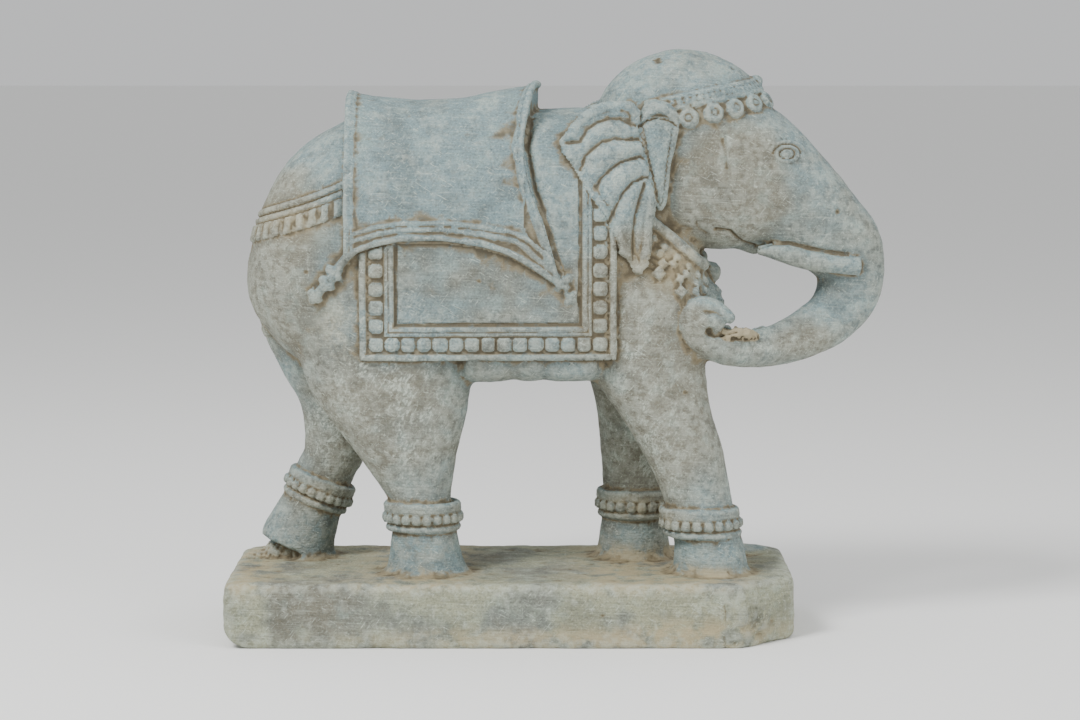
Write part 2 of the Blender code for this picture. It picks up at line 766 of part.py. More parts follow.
def relief(points, normals):
    """How far each point of the fused surface moves along its normal."""
    x, y, z = points.T
    outward = normals[:, 1] * np.sign(y)
    flank = (outward > 0.3) & (np.abs(y) > 45)
    hem = np.array([p[1] for p in SADDLE_HEM])
    below_saddle = z < np.interp(x, [p[0] for p in SADDLE_HEM], hem) - 5
    past_saddle = x > 22 - 38 * rise_between(z, 300, 345)
    ear = flank & inside(x, z, EAR) & ~inside(x, z, LEAF)
    cloth = (flank | ((x > WITHERS[0]) & (z > WITHERS[1]))) & (below_saddle | past_saddle)
    cloth &= ~ear & ~inside(x, z, LEAF) & (z > BLANKET_HEM - 1)
    head = (outward > 0.3) & (z > 300)
    mouth = head & (x > 165) & (x < 216)
    height = np.where(cloth, blanket_relief(x, z, flank), 0)
    height += np.where((x < -192) & (z > 300), crupper_relief(x, y, z), 0)
    height += np.where(ear, ear_relief(x, z), 0)
    height += np.where(head & (x > 215) & (z > 395), eye_relief(x, z), 0)
    return height - np.where(mouth, 4.0 * np.exp(-((line_distance(x, z, MOUTH) / 2.4) ** 2)), 0)


# Putting the block together


def placed(name, mesh):
    obj = bpy.data.objects.new(name, mesh)
    bpy.context.scene.collection.objects.link(obj)
    return obj


def worked(mesh, *changes):
    """The mesh after a list of modifiers, each a kind with its settings."""
    obj = placed("work", mesh)
    for kind, settings in changes:
        modifier = obj.modifiers.new(kind.lower(), kind)
        for name, value in settings.items():
            setattr(modifier, name, value)
    graph = bpy.context.evaluated_depsgraph_get()
    result = bpy.data.meshes.new_from_object(obj.evaluated_get(graph))
    bpy.data.objects.remove(obj)
    bpy.data.meshes.remove(mesh)
    return result


def as_mesh(block):
    mesh = bpy.data.meshes.new("block")
    block.to_mesh(mesh)
    block.free()
    return mesh


def fused(block, grain, rubs):
    """The overlapping forms as one skin, rubbed smooth."""
    remesh = ("REMESH", {"mode": "VOXEL", "voxel_size": grain})
    return worked(as_mesh(block), remesh, ("SMOOTH", {"factor": 0.5, "iterations": rubs}))


def coordinates(mesh, what):
    values = np.empty(len(mesh.vertices) * 3, np.float32)
    getattr(mesh, what).foreach_get("co" if what == "vertices" else "vector", values)
    return values.reshape(-1, 3).astype(float)


def work_relief(mesh):
    points, normals = coordinates(mesh, "vertices"), coordinates(mesh, "vertex_normals")
    points += normals * relief(points, normals)[:, None]
    mesh.vertices.foreach_set("co", points.astype(np.float32).ravel())
    mesh.update()


def level_underside(block):
    """Saws the block off level, just above the bottom of its fused skin."""
    base = Vector((0, 0, -PLINTH_THICKNESS / UNIT + 0.6))
    everything = block.verts[:] + block.edges[:] + block.faces[:]
    cut = bmesh.ops.bisect_plane(
        block, geom=everything, dist=0.01, plane_co=base, plane_no=(0, 0, 1), clear_inner=True
    )
    rim = [item for item in cut["geom_cut"] if isinstance(item, bmesh.types.BMEdge)]
    bmesh.ops.contextual_create(block, geom=rim)
    bmesh.ops.triangulate(block, faces=block.faces)
    bmesh.ops.recalc_face_normals(block, faces=block.faces)


def settle(mesh):
    """Brings carving units to metres, and the origin to the middle of the underside."""
    points = coordinates(mesh, "vertices")
    low, high = points.min(axis=0), points.max(axis=0)
    base = Vector(((low[0] + high[0]) / 2, (low[1] + high[1]) / 2, low[2]))
    mesh.transform(Matrix.Scale(UNIT, 4) @ Matrix.Translation(-base))


def stone():
    material = bpy.data.materials.new("grey_green_stone")
    material.use_nodes = True
    shader = material.node_tree.nodes["Principled BSDF"]
    shader.inputs["Base Color"].default_value = STONE
    shader.inputs["Roughness"].default_value = 0.85
    shader.inputs["Metallic"].default_value = 0.0
    return material


def build():
    for obj in list(bpy.data.objects):
        bpy.data.objects.remove(obj)
    block = bmesh.new()
    rough_out(block)
    carve_plinth(block)
    rough = fused(block, ROUGH_GRAIN, 6)
    block = bmesh.new()
    block.from_mesh(rough)
    core = BVHTree.FromBMesh(block)

    def skin(x, z, side):
        """How far out the rough figure reaches at, or a little below, a point of the side view."""
        reach = 30.0
        for drop in (0, 14, 28, 42):
            hit = core.ray_cast(Vector((x, side * OUTSIDE, z - drop)), Vector((0, -side, 0)))[0]
            if hit:
                reach = max(reach, side * hit.y - drop * 0.4)
        return side * reach

    carve_cloths(block, skin)
    carve_tassels(block, skin)
    carve_ears(block, skin)
    carve_headband(block, core)
    carve_necklace(block, core)
    carve_tail(block, core)
    carve_anklets(block)
    carve_trunk_end(block)
    carve_mortar(block)
    carving = fused(block, GRAIN, 2)
    work_relief(carving)
    carving = worked(carving, ("DECIMATE", {"ratio": FACETS / (2 * len(carving.polygons))}))
    block = bmesh.new()
    block.from_mesh(carving)
    level_underside(block)
    block.to_mesh(carving)
    block.free()
    settle(carving)
    carving.materials.append(stone())
    placed("elephant_carving", carving)


build()
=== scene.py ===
# %% [markdown]
# A walking elephant carved from one block of stone
#
# The real object is a garden statue: an elephant in cloths and jewels, striding on a low plinth,
# all cut from one block. There are no joints and no separate parts, so the model is one closed
# mesh as well. It is made in the order a carver works: rough masses, then dressed forms, then low
# relief, then wear. The frame is the finished engineering solid, which fixes the size and place.

# %% The frame
import math

import bmesh
import bpy
import numpy as np
from mathutils import Matrix, Vector
from mathutils.bvhtree import BVHTree


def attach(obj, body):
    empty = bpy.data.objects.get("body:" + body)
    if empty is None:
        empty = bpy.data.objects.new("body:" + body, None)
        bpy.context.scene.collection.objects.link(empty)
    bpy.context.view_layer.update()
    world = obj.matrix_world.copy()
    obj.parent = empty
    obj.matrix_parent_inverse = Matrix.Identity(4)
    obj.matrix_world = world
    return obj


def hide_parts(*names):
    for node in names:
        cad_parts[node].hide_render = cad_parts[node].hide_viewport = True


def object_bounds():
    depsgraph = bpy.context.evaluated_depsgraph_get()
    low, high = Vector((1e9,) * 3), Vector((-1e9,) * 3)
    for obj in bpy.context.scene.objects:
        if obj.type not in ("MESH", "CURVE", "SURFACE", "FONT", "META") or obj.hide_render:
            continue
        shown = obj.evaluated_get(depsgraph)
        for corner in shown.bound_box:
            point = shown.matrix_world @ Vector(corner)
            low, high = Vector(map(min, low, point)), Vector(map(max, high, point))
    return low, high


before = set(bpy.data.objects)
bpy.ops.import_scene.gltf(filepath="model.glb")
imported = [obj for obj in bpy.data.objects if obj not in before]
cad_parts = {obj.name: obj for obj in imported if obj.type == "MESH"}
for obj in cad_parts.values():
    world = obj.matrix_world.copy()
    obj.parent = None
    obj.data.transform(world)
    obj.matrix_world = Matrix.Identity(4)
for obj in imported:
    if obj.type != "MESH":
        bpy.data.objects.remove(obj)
CAD_BOX = [[float(value) for value in corner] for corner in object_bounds()]
print("solid model's box:", CAD_BOX)

# %% [markdown]
# Units
#
# Carvers work in shares of the figure's height. The figure is 514 units tall, and one unit is one
# millimetre, so every pattern size below can be read as millimetres. X runs from tail to trunk,
# Z up from the top of the plinth, and -Y is the show side.

# %% Sizes
UNIT = 0.001  # metres in one carving unit
PLINTH_THICKNESS = 64.0
PLINTH_MARGINS = (25.0, 45.0, 42.0, 31.0)  # rear, front, near and far, beyond the feet
ROUGH_GRAIN = 4.0  # voxel size of the first fusing
GRAIN = 1.5  # voxel size of the second, fine enough for a 3 mm groove
ROUGH_RUBS = 8  # rounds of smoothing after the first fusing
RUBS = 1  # and after the second
TRIANGLES = 190000  # what the thinning aims at; the saw then takes some away
ACROSS = Vector((0.0, 1.0, 0.0))
SIDES = (-1, 1)  # near, far

# %% [markdown]
# Smooth curves and closed forms
#
# A limb is a stack of rings. The rings could be typed point by point, but a curve through a few
# measured stations is shorter and smoother. Each ring starts as a circle from an operator, is moved
# onto its place, and bridge_loops skins the stack. Every form is closed, because a voxel remesh
# can only fuse closed forms.

# %% Curves
def curve_through(stations, count):
    """Rows along a smooth curve through the stations, evenly spaced by length."""
    rows = np.array(stations, float)
    steps = np.linalg.norm(np.diff(rows, axis=0), axis=1)
    along = np.concatenate([[0.0], np.cumsum(steps)])
    slopes = np.gradient(rows, along, axis=0)
    wanted = np.linspace(0.0, along[-1], count)
    i = np.clip(np.searchsorted(along, wanted, side="right") - 1, 0, len(rows) - 2)
    gap = (along[i + 1] - along[i])[:, None]
    t = (wanted - along[i])[:, None] / gap
    bend = (t**3 - 2 * t**2 + t) * gap * slopes[i] + (t**3 - t**2) * gap * slopes[i + 1]
    return (2 * t**3 - 3 * t**2 + 1) * rows[i] + (3 * t**2 - 2 * t**3) * rows[i + 1] + bend


def squared(angle, power):
    """Cosine and sine of a superellipse, where a power of 2 is a circle."""
    c, s = math.cos(angle), math.sin(angle)
    return (
        math.copysign(abs(c) ** (2 / power), c),
        math.copysign(abs(s) ** (2 / power), s),
    )


def full_turn(count):
    """Angles spaced evenly round a circle."""
    return [2 * math.pi * i / count for i in range(count)]


def ring_frames(centres, planes):
    """Two axes of each ring: the one in the side view first, then the one across."""
    across = ACROSS.copy()
    frames = []
    for tangent in np.gradient(centres, axis=0):
        if planes == "level":
            frames.append((Vector((1, 0, 0)), ACROSS))
        elif planes == "upright":
            frames.append((Vector((0, 0, 1)), ACROSS))
        else:
            ahead = Vector(tangent).normalized()
            across = (across - ahead * across.dot(ahead)).normalized()
            frames.append((across.cross(ahead), across))
    return frames

# %% Forms
def add_form(block, form):
    """Puts a finished form among the others."""
    bmesh.ops.recalc_face_normals(form, faces=form.faces)
    mesh = bpy.data.meshes.new("form")
    form.to_mesh(mesh)
    form.free()
    block.from_mesh(mesh)
    bpy.data.meshes.remove(mesh)


def skin_rings(block, rings, closed=False):
    """A form skinned over rings of points, capped at its ends unless it closes on itself."""
    form = bmesh.new()
    loops = []
    for ring in rings:
        verts = bmesh.ops.create_circle(form, segments=len(ring), radius=1.0)["verts"]
        for vert, point in zip(verts, ring):
            vert.co = point
        loops.append(list({edge for vert in verts for edge in vert.link_edges}))
    following = loops[1:] + loops[:1] if closed else loops[1:]
    for first, second in zip(loops, following):
        bmesh.ops.bridge_loops(form, edges=first + second)
    if not closed:
        bmesh.ops.contextual_create(form, geom=loops[0])
        bmesh.ops.contextual_create(form, geom=loops[-1])
    add_form(block, form)

# %% Lofts, cords, balls and studs
def loft(block, stations, planes="path", sides=28, count=24, power=2.0):
    """A closed form through stations of (x, z, y, half height in the side view, half depth)."""
    rows = curve_through(stations, count)
    centres = rows[:, [0, 2, 1]]
    turns = [squared(angle, power) for angle in full_turn(sides)]
    rings = []
    for row, centre, (up, across) in zip(rows, centres, ring_frames(centres, planes)):
        rings.append([Vector(centre) + up * (c * row[3]) + across * (s * row[4]) for c, s in turns])
    skin_rings(block, rings)


def tube(block, points, radius, sides=8):
    """A round cord through points in space."""
    stations = [(p.x, p.z, p.y, radius, radius) for p in points]
    loft(block, stations, sides=sides, count=2 * len(points))


def ball(block, centre, radii, smoothness=2):
    """An ellipsoid at (x, z, y) with its half sizes along X, Z and Y."""
    x, z, y = centre
    place = Matrix.Translation((x, y, z)) @ Matrix.Diagonal((radii[0], radii[2], radii[1], 1.0))
    bmesh.ops.create_icosphere(block, subdivisions=smoothness, radius=1.0, matrix=place)


def studs(block, places, size):
    """Worn square studs, each on its own place matrix."""
    form = bmesh.new()
    for place in places:
        cube = bmesh.ops.create_cube(form, size=1.0, matrix=place @ Matrix.Diagonal((*size, 1.0)))
        edges = list({edge for vert in cube["verts"] for edge in vert.link_edges})
        bmesh.ops.bevel(form, geom=edges, offset=min(size) * 0.1, affect="EDGES", segments=1)
    add_form(block, form)

# %% [markdown]
# The rough figure
#
# The barrel of the body is a row of upright rings, because its outline is known from the side. The
# legs are level rings, and the trunk follows its own path. Each station gives a place and two half
# sizes. The masses overlap freely and are fused later, as if the block was still whole.

# %% Torso, neck and head
TORSO = (  # x, top, bottom, half depth
    (-292, 302, 272, 16),
    (-286, 325, 257, 40),
    (-275, 363, 240, 62),
    (-255, 400, 217, 78),
    (-228, 425, 199, 88),
    (-190, 446, 190, 95),
    (-140, 452, 188, 97),
    (-70, 454, 191, 97),
    (0, 452, 192, 95),
    (50, 453, 192, 91),
    (80, 452, 196, 84),
    (105, 436, 201, 68),
    (130, 376, 209, 52),
    (148, 335, 222, 46),
    (158, 307, 234, 40),
    (169, 291, 246, 30),
    (181, 272, 256, 12),
)
TORSO_POWER = 2.5
NECK = (  # x, z, y, half height in the side view and half depth, here and in the forms below
    (20, 352, 0, 92, 82),
    (70, 374, 0, 88, 66),
    (115, 392, 0, 74, 46),
    (150, 402, 0, 62, 40),
)
CROWN_CENTRE = (141, 430, 0)
CROWN_RADII = (92, 85, 64)
FACE = (  # brow to trunk
    (110, 405, 0, 80, 58),
    (160, 399, 0, 80, 63),
    (205, 387, 0, 74.5, 61),
    (245, 368, 0, 56.5, 51),
    (280, 340, 0, 45, 42),
    (302, 315, 0, 40.5, 35),
    (309.5, 293, 0, 34, 31.5),
    (306, 272, -2, 31.5, 30),
    (291.5, 251.5, -8, 28, 27),
    (266, 235.5, -20, 24.5, 24),
    (238, 226, -36, 20.5, 21),
    (205, 222, -52, 18, 18.5),
    (174, 227, -64, 17, 17),
    (152, 239, -70, 15.5, 15.5),
)
CURL = (  # the end of the trunk, rolled against the near leg
    (174, 227, -64, 16.5, 17),
    (152, 238, -70, 15.5, 15.5),
    (144, 252, -72, 13.5, 14.5),
    (152, 264, -72, 11, 13.5),
    (166, 265, -72, 9, 12.5),
    (178, 259, -72, 7.5, 11),
    (188, 252, -72, 4.5, 8),
)
CURL_HEARTS = (((154, 250, -73), (19, 19, 16)), ((166, 251, -73), (15, 13, 15)))
JAW = (
    (150, 347, 0, 26, 42),
    (178, 340, 0, 18, 36),
    (198, 329, 0, 12, 26),
    (210, 319, 0, 8, 16),
    (218, 313, 0, 5, 10),
)

# %% Legs
LEGS = {  # x, z, y, half length and half depth of each level ring
    "near_front": (
        (88, 350, -22, 46, 30),
        (96, 318, -34, 60, 40),
        (101, 285, -40, 63, 45),
        (106, 213, -43, 57, 42),
        (109, 191, -44, 55, 40),
        (124.5, 156, -46, 45.5, 38),
        (140, 121, -46, 40.5, 36),
        (150.5, 92, -46, 36, 34),
        (157, 67, -46, 34, 33),
        (161, 50, -46, 33.5, 32.5),
        (166, 34, -46, 34, 33),
        (168.5, 4, -46, 38, 37),
        (168.5, -14, -46, 40, 39),
    ),
    "far_front": (
        (88, 340, 22, 46, 30),
        (95, 285, 40, 61, 45),
        (98, 200, 44, 54, 42),
        (100, 159, 47, 45, 38),
        (101, 118, 49, 41, 36),
        (98, 70, 50, 35, 33),
        (96, 41, 50, 34, 33),
        (95.5, 2, 50, 38.5, 37),
        (95.5, -14, 50, 40, 39),
    ),
    "near_hind": (
        (-160, 345, -20, 70, 40),
        (-165, 290, -36, 91, 58),
        (-155, 220, -40, 86, 53),
        (-148, 176, -43, 78, 47),
        (-141, 151, -44, 67, 43),
        (-133, 121, -45, 51.5, 38),
        (-125, 92, -45.5, 38.5, 34),
        (-120, 70, -46, 30.5, 31),
        (-116, 52, -46, 30.5, 31),
        (-114.5, 34, -46, 33.5, 33),
        (-114, 14, -46, 36.5, 35),
        (-112, 0, -46, 41.5, 38),
        (-112, -14, -46, 43, 40),
    ),
    "far_hind": (
        (-195, 345, 20, 60, 40),
        (-213, 290, 36, 75, 58),
        (-210, 242, 38, 75, 56),
        (-205, 206, 42, 66, 50),
        (-202, 180, 44, 55, 46),
        (-203, 159, 46, 43, 42),
        (-205, 131, 48, 35.5, 36),
        (-209, 110, 49, 32, 33),
        (-215, 88, 50, 30, 31),
    ),
}

# %% Belly strap, trailing foot, tusks and eye
GIRTH_ROLLS = ((-74, -27), (-27, 3), (3, 56))  # rear and front of each roll of the belly strap
GIRTH_SHAPE = (215, 25.5, 87)  # its centre height, half height and half depth
GIRTH_PROFILE = (  # along each roll, and how far it dips
    (0.0, -7), (0.03, -3), (0.08, -0.8), (0.25, 0), (0.75, 0), (0.92, -0.8), (0.97, -3),
    (1.0, -7),
)

TRAILING_TILT = math.radians(22)  # the far hind foot stands on its toe
TRAILING_ANKLE = (-228.5, 67, 50)
TRAILING_FOOT = ((-28, 30, 31), (0, 30, 31), (24, 33.5, 33), (62, 39.5, 37))  # way down, half sizes
TUSK = (
    (214, 318, 34, 4.5, 6),
    (230, 317, 36, 8, 8),
    (248, 313, 37, 10.5, 9.5),
    (270, 307, 37, 10, 9.5),
    (292, 304, 36, 9, 9),
    (315, 302, 34, 8.5, 8.5),
)
EYE = (241, 413)

# %% Rough out the figure
def rough_out(block):
    rows = [(x, (top + low) / 2, 0, (top - low) / 2, deep) for x, top, low, deep in TORSO]
    loft(block, rows, planes="upright", sides=40, count=40, power=TORSO_POWER)
    loft(block, NECK, sides=32, count=12)
    ball(block, CROWN_CENTRE, CROWN_RADII, smoothness=4)
    loft(block, FACE, sides=28, count=50, power=2.6)
    loft(block, JAW, sides=20, count=10)
    for rows in LEGS.values():
        loft(block, rows, planes="level", sides=28, count=30, power=2.1)

    middle, high, deep = GIRTH_SHAPE
    for rear, front in GIRTH_ROLLS:
        long = front - rear
        roll = [(rear + long * at, middle, 0, high + dip, deep + dip) for at, dip in GIRTH_PROFILE]
        loft(block, roll, planes="upright", sides=40, count=30, power=4.0)

    x, z, y = TRAILING_ANKLE
    back, down = math.sin(TRAILING_TILT), math.cos(TRAILING_TILT)
    foot = [(x - s * back, z - s * down, y, a, b) for s, a, b in TRAILING_FOOT]
    loft(block, foot, sides=28, count=12, power=2.1)

# %% [markdown]
# The plinth
#
# The plinth is a slab with hand-worn corners, each of its own radius, and a low mound at its far
# front corner, where the rough skin of the block was left on.

# %% Plinth
FOOTPRINT = (-284, 206, -84, 87)  # rear, front, near and far edges of the four feet
CHIPPED_CORNER = 56  # the near front corner was struck off flat
CORNER_RADII = {(-1, -1): 10, (-1, 1): 30, (1, -1): CHIPPED_CORNER, (1, 1): 26}
MOUND = ((206, -3, 82), (40, 9, 32))  # the block's rough skin left on at the far front corner


def carve_plinth(block):
    rear = FOOTPRINT[0] - PLINTH_MARGINS[0]
    front = FOOTPRINT[1] + PLINTH_MARGINS[1]
    near = FOOTPRINT[2] - PLINTH_MARGINS[2]
    far = FOOTPRINT[3] + PLINTH_MARGINS[3]
    thick = PLINTH_THICKNESS

    heart = Vector(((front + rear) / 2, (far + near) / 2, -thick / 2))
    place = Matrix.Translation(heart) @ Matrix.Diagonal((front - rear, far - near, thick, 1.0))
    form = bmesh.new()
    verts = bmesh.ops.create_cube(form, size=1.0, matrix=place)["verts"]
    edges = {edge for vert in verts for edge in vert.link_edges}
    upright = [edge for edge in edges if abs(edge.verts[0].co.z - edge.verts[1].co.z) > thick / 2]
    for edge in upright:
        corner = edge.verts[0].co - heart
        radius = CORNER_RADII[(int(math.copysign(1, corner.x)), int(math.copysign(1, corner.y)))]
        facets = 1 if radius == CHIPPED_CORNER else 8
        bmesh.ops.bevel(
            form, geom=[edge], offset=radius, affect="EDGES", segments=facets, profile=0.5
        )
    add_form(block, form)
    ball(block, *MOUND, smoothness=3)

# %% [markdown]
# Fusing
#
# Stone has no seams, so the overlapping forms have to become one skin. A boolean union would leave
# hard creases where two limbs meet. A voxel remesh joins everything that overlaps and rounds the
# meeting lines a little, as rubbing with a stone does, and a few rounds of smoothing finish it.

# %% Modifiers as tools
def placed(name, mesh):
    obj = bpy.data.objects.new(name, mesh)
    bpy.context.scene.collection.objects.link(obj)
    return obj


def worked(mesh, *changes):
    """The mesh after a list of modifiers, each a kind with its settings."""
    obj = placed("work", mesh)
    for kind, settings in changes:
        modifier = obj.modifiers.new(kind.lower(), kind)
        for name, value in settings.items():
            setattr(modifier, name, value)
    graph = bpy.context.evaluated_depsgraph_get()
    result = bpy.data.meshes.new_from_object(obj.evaluated_get(graph))
    bpy.data.objects.remove(obj)
    bpy.data.meshes.remove(mesh)
    return result


def as_mesh(block):
    mesh = bpy.data.meshes.new("block")
    block.to_mesh(mesh)
    block.free()
    return mesh


def fused(block, grain, rubs):
    """The overlapping forms as one skin, rubbed smooth."""
    remesh = ("REMESH", {"mode": "VOXEL", "voxel_size": grain})
    return worked(as_mesh(block), remesh, ("SMOOTH", {"factor": 0.5, "iterations": rubs}))


def coordinates(mesh, what):
    values = np.empty(len(mesh.vertices) * 3, np.float32)
    getattr(mesh, what).foreach_get("co" if what == "vertices" else "vector", values)
    return values.reshape(-1, 3).astype(float)

# %% First fusing
block = bmesh.new()
rough_out(block)
carve_plinth(block)
rough = fused(block, ROUGH_GRAIN, ROUGH_RUBS)
block = bmesh.new()
block.from_mesh(rough)
core = BVHTree.FromBMesh(block)
print("rough figure:", len(block.faces), "faces")

# %% How far out the figure reaches
RAY_START = 400  # rays start this far out
LEAST_REACH = 30.0  # half depth where no ray meets the figure
DROPS = (0, 14, 28, 42)  # how far below a point a ray is sent as well
DROP_LOSS = 0.4  # half depth given up for each unit of drop


def skin(x, z, side):
    """How far out the rough figure reaches at, or a little below, a point of the side view."""
    reach = LEAST_REACH
    for drop in DROPS:
        start = Vector((x, side * RAY_START, z - drop))
        hit = core.ray_cast(start, Vector((0, -side, 0)))[0]
        if hit:
            reach = max(reach, side * hit.y - drop * DROP_LOSS)
    return side * reach

# %% [markdown]
# The two cloths
#
# A long blanket hangs to the belly and a saddle cloth lies over it, its front edge standing off the
# neck like a stiff collar. On the real object they are stone a few millimetres proud of the flank.
# A cloth simulation would fall in soft folds that the carver never cut, so each cloth is a grid laid
# over the body by a function, closed to a slab whose underside is sunk in the body.

# %% Where the cloths lie
SADDLE_LIFT = 8.0
BLANKET_LIFT = 4.0
HEM_CORDS = ((0.0, 3.2), (0.028, 2.3), (0.052, 1.9))  # share up from the hem, radius
EDGE_CORDS = ((0.0, 3.2), (0.026, 2.1), (1.0, 3.3), (0.970, 2.4))  # share forward, radius
BEAD_PITCH = 16.0
SADDLE_REAR = ((0.0, -188), (1.0, -188))  # share of the way down, x
SADDLE_FRONT = ((0.0, -2), (0.35, -15), (0.55, -20), (0.75, -13), (0.9, 2), (1.0, 17))
SADDLE_TOP_LIFT = ((0.0, 25), (0.12, 18), (0.35, 11), (0.6, 13), (0.85, 23), (1.0, 27.5))
SADDLE_SETTLES = 0.45  # share of the way down at which its top's extra lift is gone
SADDLE_FLARE = 9.0  # how far its front edge stands off the neck
FLARE_FROM, FLARE_WIDTH = 0.85, 0.15  # share forward where that starts, and over what share
SADDLE_SINK = 24  # how far its underside lies in the body
SADDLE_HEM = (
    (-188, 314), (-178, 322), (-159, 329), (-135, 334), (-96, 334), (-58, 329), (-29, 320),
    (-5, 306), (17, 290),
)
BLANKET_REAR = -175
BLANKET_FRONT = 73
BLANKET_HEM = 215
BLANKET_TUCK = 0.05  # share by which its hem falls in under the belly
BLANKET_SINK = 40
SECTIONS = curve_through(TORSO, 160)


def torso_section(x):
    """Centre height, half height and half depth of the body at x."""
    top, low, deep = (float(np.interp(x, SECTIONS[:, 0], SECTIONS[:, i])) for i in (1, 2, 3))
    return (top + low) / 2, (top - low) / 2, deep


def read_off(pairs, at):
    return float(np.interp(at, [p[0] for p in pairs], [p[1] for p in pairs]))


def on_body(x, turn, lift):
    """A point over the body's section at x, turned from the top towards the far side."""
    middle, high, deep = torso_section(x)
    c, s = squared(turn, TORSO_POWER)
    return Vector((x, s * (deep + lift), middle + c * (high + lift)))


def turn_down_to(x, height, lift):
    """The turn at which the body's section, lifted, comes down to a height."""
    middle, high, _ = torso_section(x)
    share = max(-1.0, min(1.0, (height - middle) / (high + lift)))
    return math.acos(math.copysign(abs(share) ** (TORSO_POWER / 2), share))

# %% Points of each cloth
def saddle_point(forward, down):
    """A point of the upper cloth; down runs from -1 at the near hem to 1 at the far one."""
    depth = abs(down)
    x = (1 - forward) * read_off(SADDLE_REAR, depth) + forward * read_off(SADDLE_FRONT, depth)
    top = read_off(SADDLE_TOP_LIFT, forward)
    lift = top + (SADDLE_LIFT - top) * min(1.0, depth / SADDLE_SETTLES) ** 2
    flare = max(0.0, (forward - FLARE_FROM) / FLARE_WIDTH) ** 2
    lift += SADDLE_FLARE * flare * (1 - depth) * min(1.0, depth * 4)
    limit = turn_down_to(x, read_off(SADDLE_HEM, x), lift)
    return on_body(x, down * limit, lift)


def blanket_point(forward, down):
    """A point of the lower cloth, which hangs almost straight below the widest of the body."""
    x = BLANKET_REAR + (BLANKET_FRONT - BLANKET_REAR) * forward
    point = on_body(x, down * turn_down_to(x, BLANKET_HEM, BLANKET_LIFT), BLANKET_LIFT)
    middle, _, deep = torso_section(x)
    if point.z < middle:
        side = 1 if down > 0 else -1
        fall = (middle - point.z) / (middle - BLANKET_HEM)
        hung = (deep + BLANKET_LIFT) * (1 - BLANKET_TUCK * fall**2)
        point.y = side * max(hung, side * skin(x, point.z, side) + BLANKET_LIFT)
    return point

# %% Lay the cloths
def drape(block, point_at, sink, steps):
    """A cloth as a closed slab: a grid laid over the body, with its underside sunk into it."""
    form = bmesh.new()
    grid = bmesh.ops.create_grid(form, x_segments=steps[0], y_segments=steps[1], size=1.0)["verts"]
    for vert in grid:
        vert.co = point_at((vert.co.x + 1) / 2, vert.co.y)
    under = bmesh.ops.duplicate(form, geom=grid + form.faces[:])
    lower = [item for item in under["geom"] if isinstance(item, bmesh.types.BMVert)]
    for vert in lower:
        middle, high, deep = torso_section(vert.co.x)
        vert.co.y *= 1 - sink / deep
        vert.co.z += (middle - vert.co.z) * sink / high
    rims = [edge for edge in form.edges if edge.is_boundary]
    bmesh.ops.bridge_loops(form, edges=rims)
    add_form(block, form)


def carve_cloths(block):
    drape(block, blanket_point, BLANKET_SINK, (24, 34))
    drape(block, saddle_point, SADDLE_SINK, (26, 34))
    for side in SIDES:
        for inset, thick in HEM_CORDS:
            hem = [saddle_point(i / 20, side * (1 - inset)) for i in range(21)]
            tube(block, hem, thick)
    for forward, thick in EDGE_CORDS:
        tube(block, [saddle_point(forward, -1 + i / 14) for i in range(29)], thick)


carve_cloths(block)
print("with cloths:", len(block.faces), "faces")

# %% [markdown]
# Tassels
#
# Each corner of the saddle cloth ends in a twisted cord with knots. A knot is a handful of small
# balls set off its middle, which fuse to the lobed lump that a carver gets with a few cuts.

# %% Tassels
REAR_TASSEL = ((-186, 318), (-193, 309), (-202, 298), (-209, 288), (-216, 280), (-222, 274))
REAR_KNOTS = ((-200, 300, 7.5), (-207, 290, 7), (-219, 277, 6.5))
FRONT_TASSEL = ((13, 298), (19, 291), (25, 283), (30, 275))
FRONT_KNOTS = ((20, 291, 8.5), (29, 277, 7.5))
CORD_OUT, KNOT_OUT = 3, 4  # how far their middles stand off the rough figure
LOBE_SWELL, LOBE_DEPTH = 1.1, 0.75  # a lobe's radius and its depth, as shares
KNOT_LOBES = (  # right, up and size, as shares of the knot's size
    (0.0, 0.0, 0.85), (0.55, 0.35, 0.6), (-0.5, 0.45, 0.6), (-0.35, -0.55, 0.55),
    (0.45, -0.5, 0.55),
)


def carve_tassels(block):
    for side in SIDES:
        for path, thick in ((REAR_TASSEL, 4.4), (FRONT_TASSEL, 4.8)):
            tube(block, [Vector((x, skin(x, z, side) + CORD_OUT * side, z)) for x, z in path], thick)
        for x, z, size in REAR_KNOTS + FRONT_KNOTS:
            ground = skin(x, z, side) + KNOT_OUT * side
            for right, up, share in KNOT_LOBES:
                radius = size * share * LOBE_SWELL
                centre = (x + right * size, z + up * size, ground)
                ball(block, centre, (radius, radius, size * LOBE_DEPTH))


carve_tassels(block)

# %% [markdown]
# Ears and leaf pendants
#
# An ear lies back on the neck as a padded slab with deep pleats, and a leaf-shaped pendant hangs in
# front of it from a small cap. Both are rings of one outline, drawn in towards a heart as they
# rise. The pleats are too fine for forms and are cut later as relief.

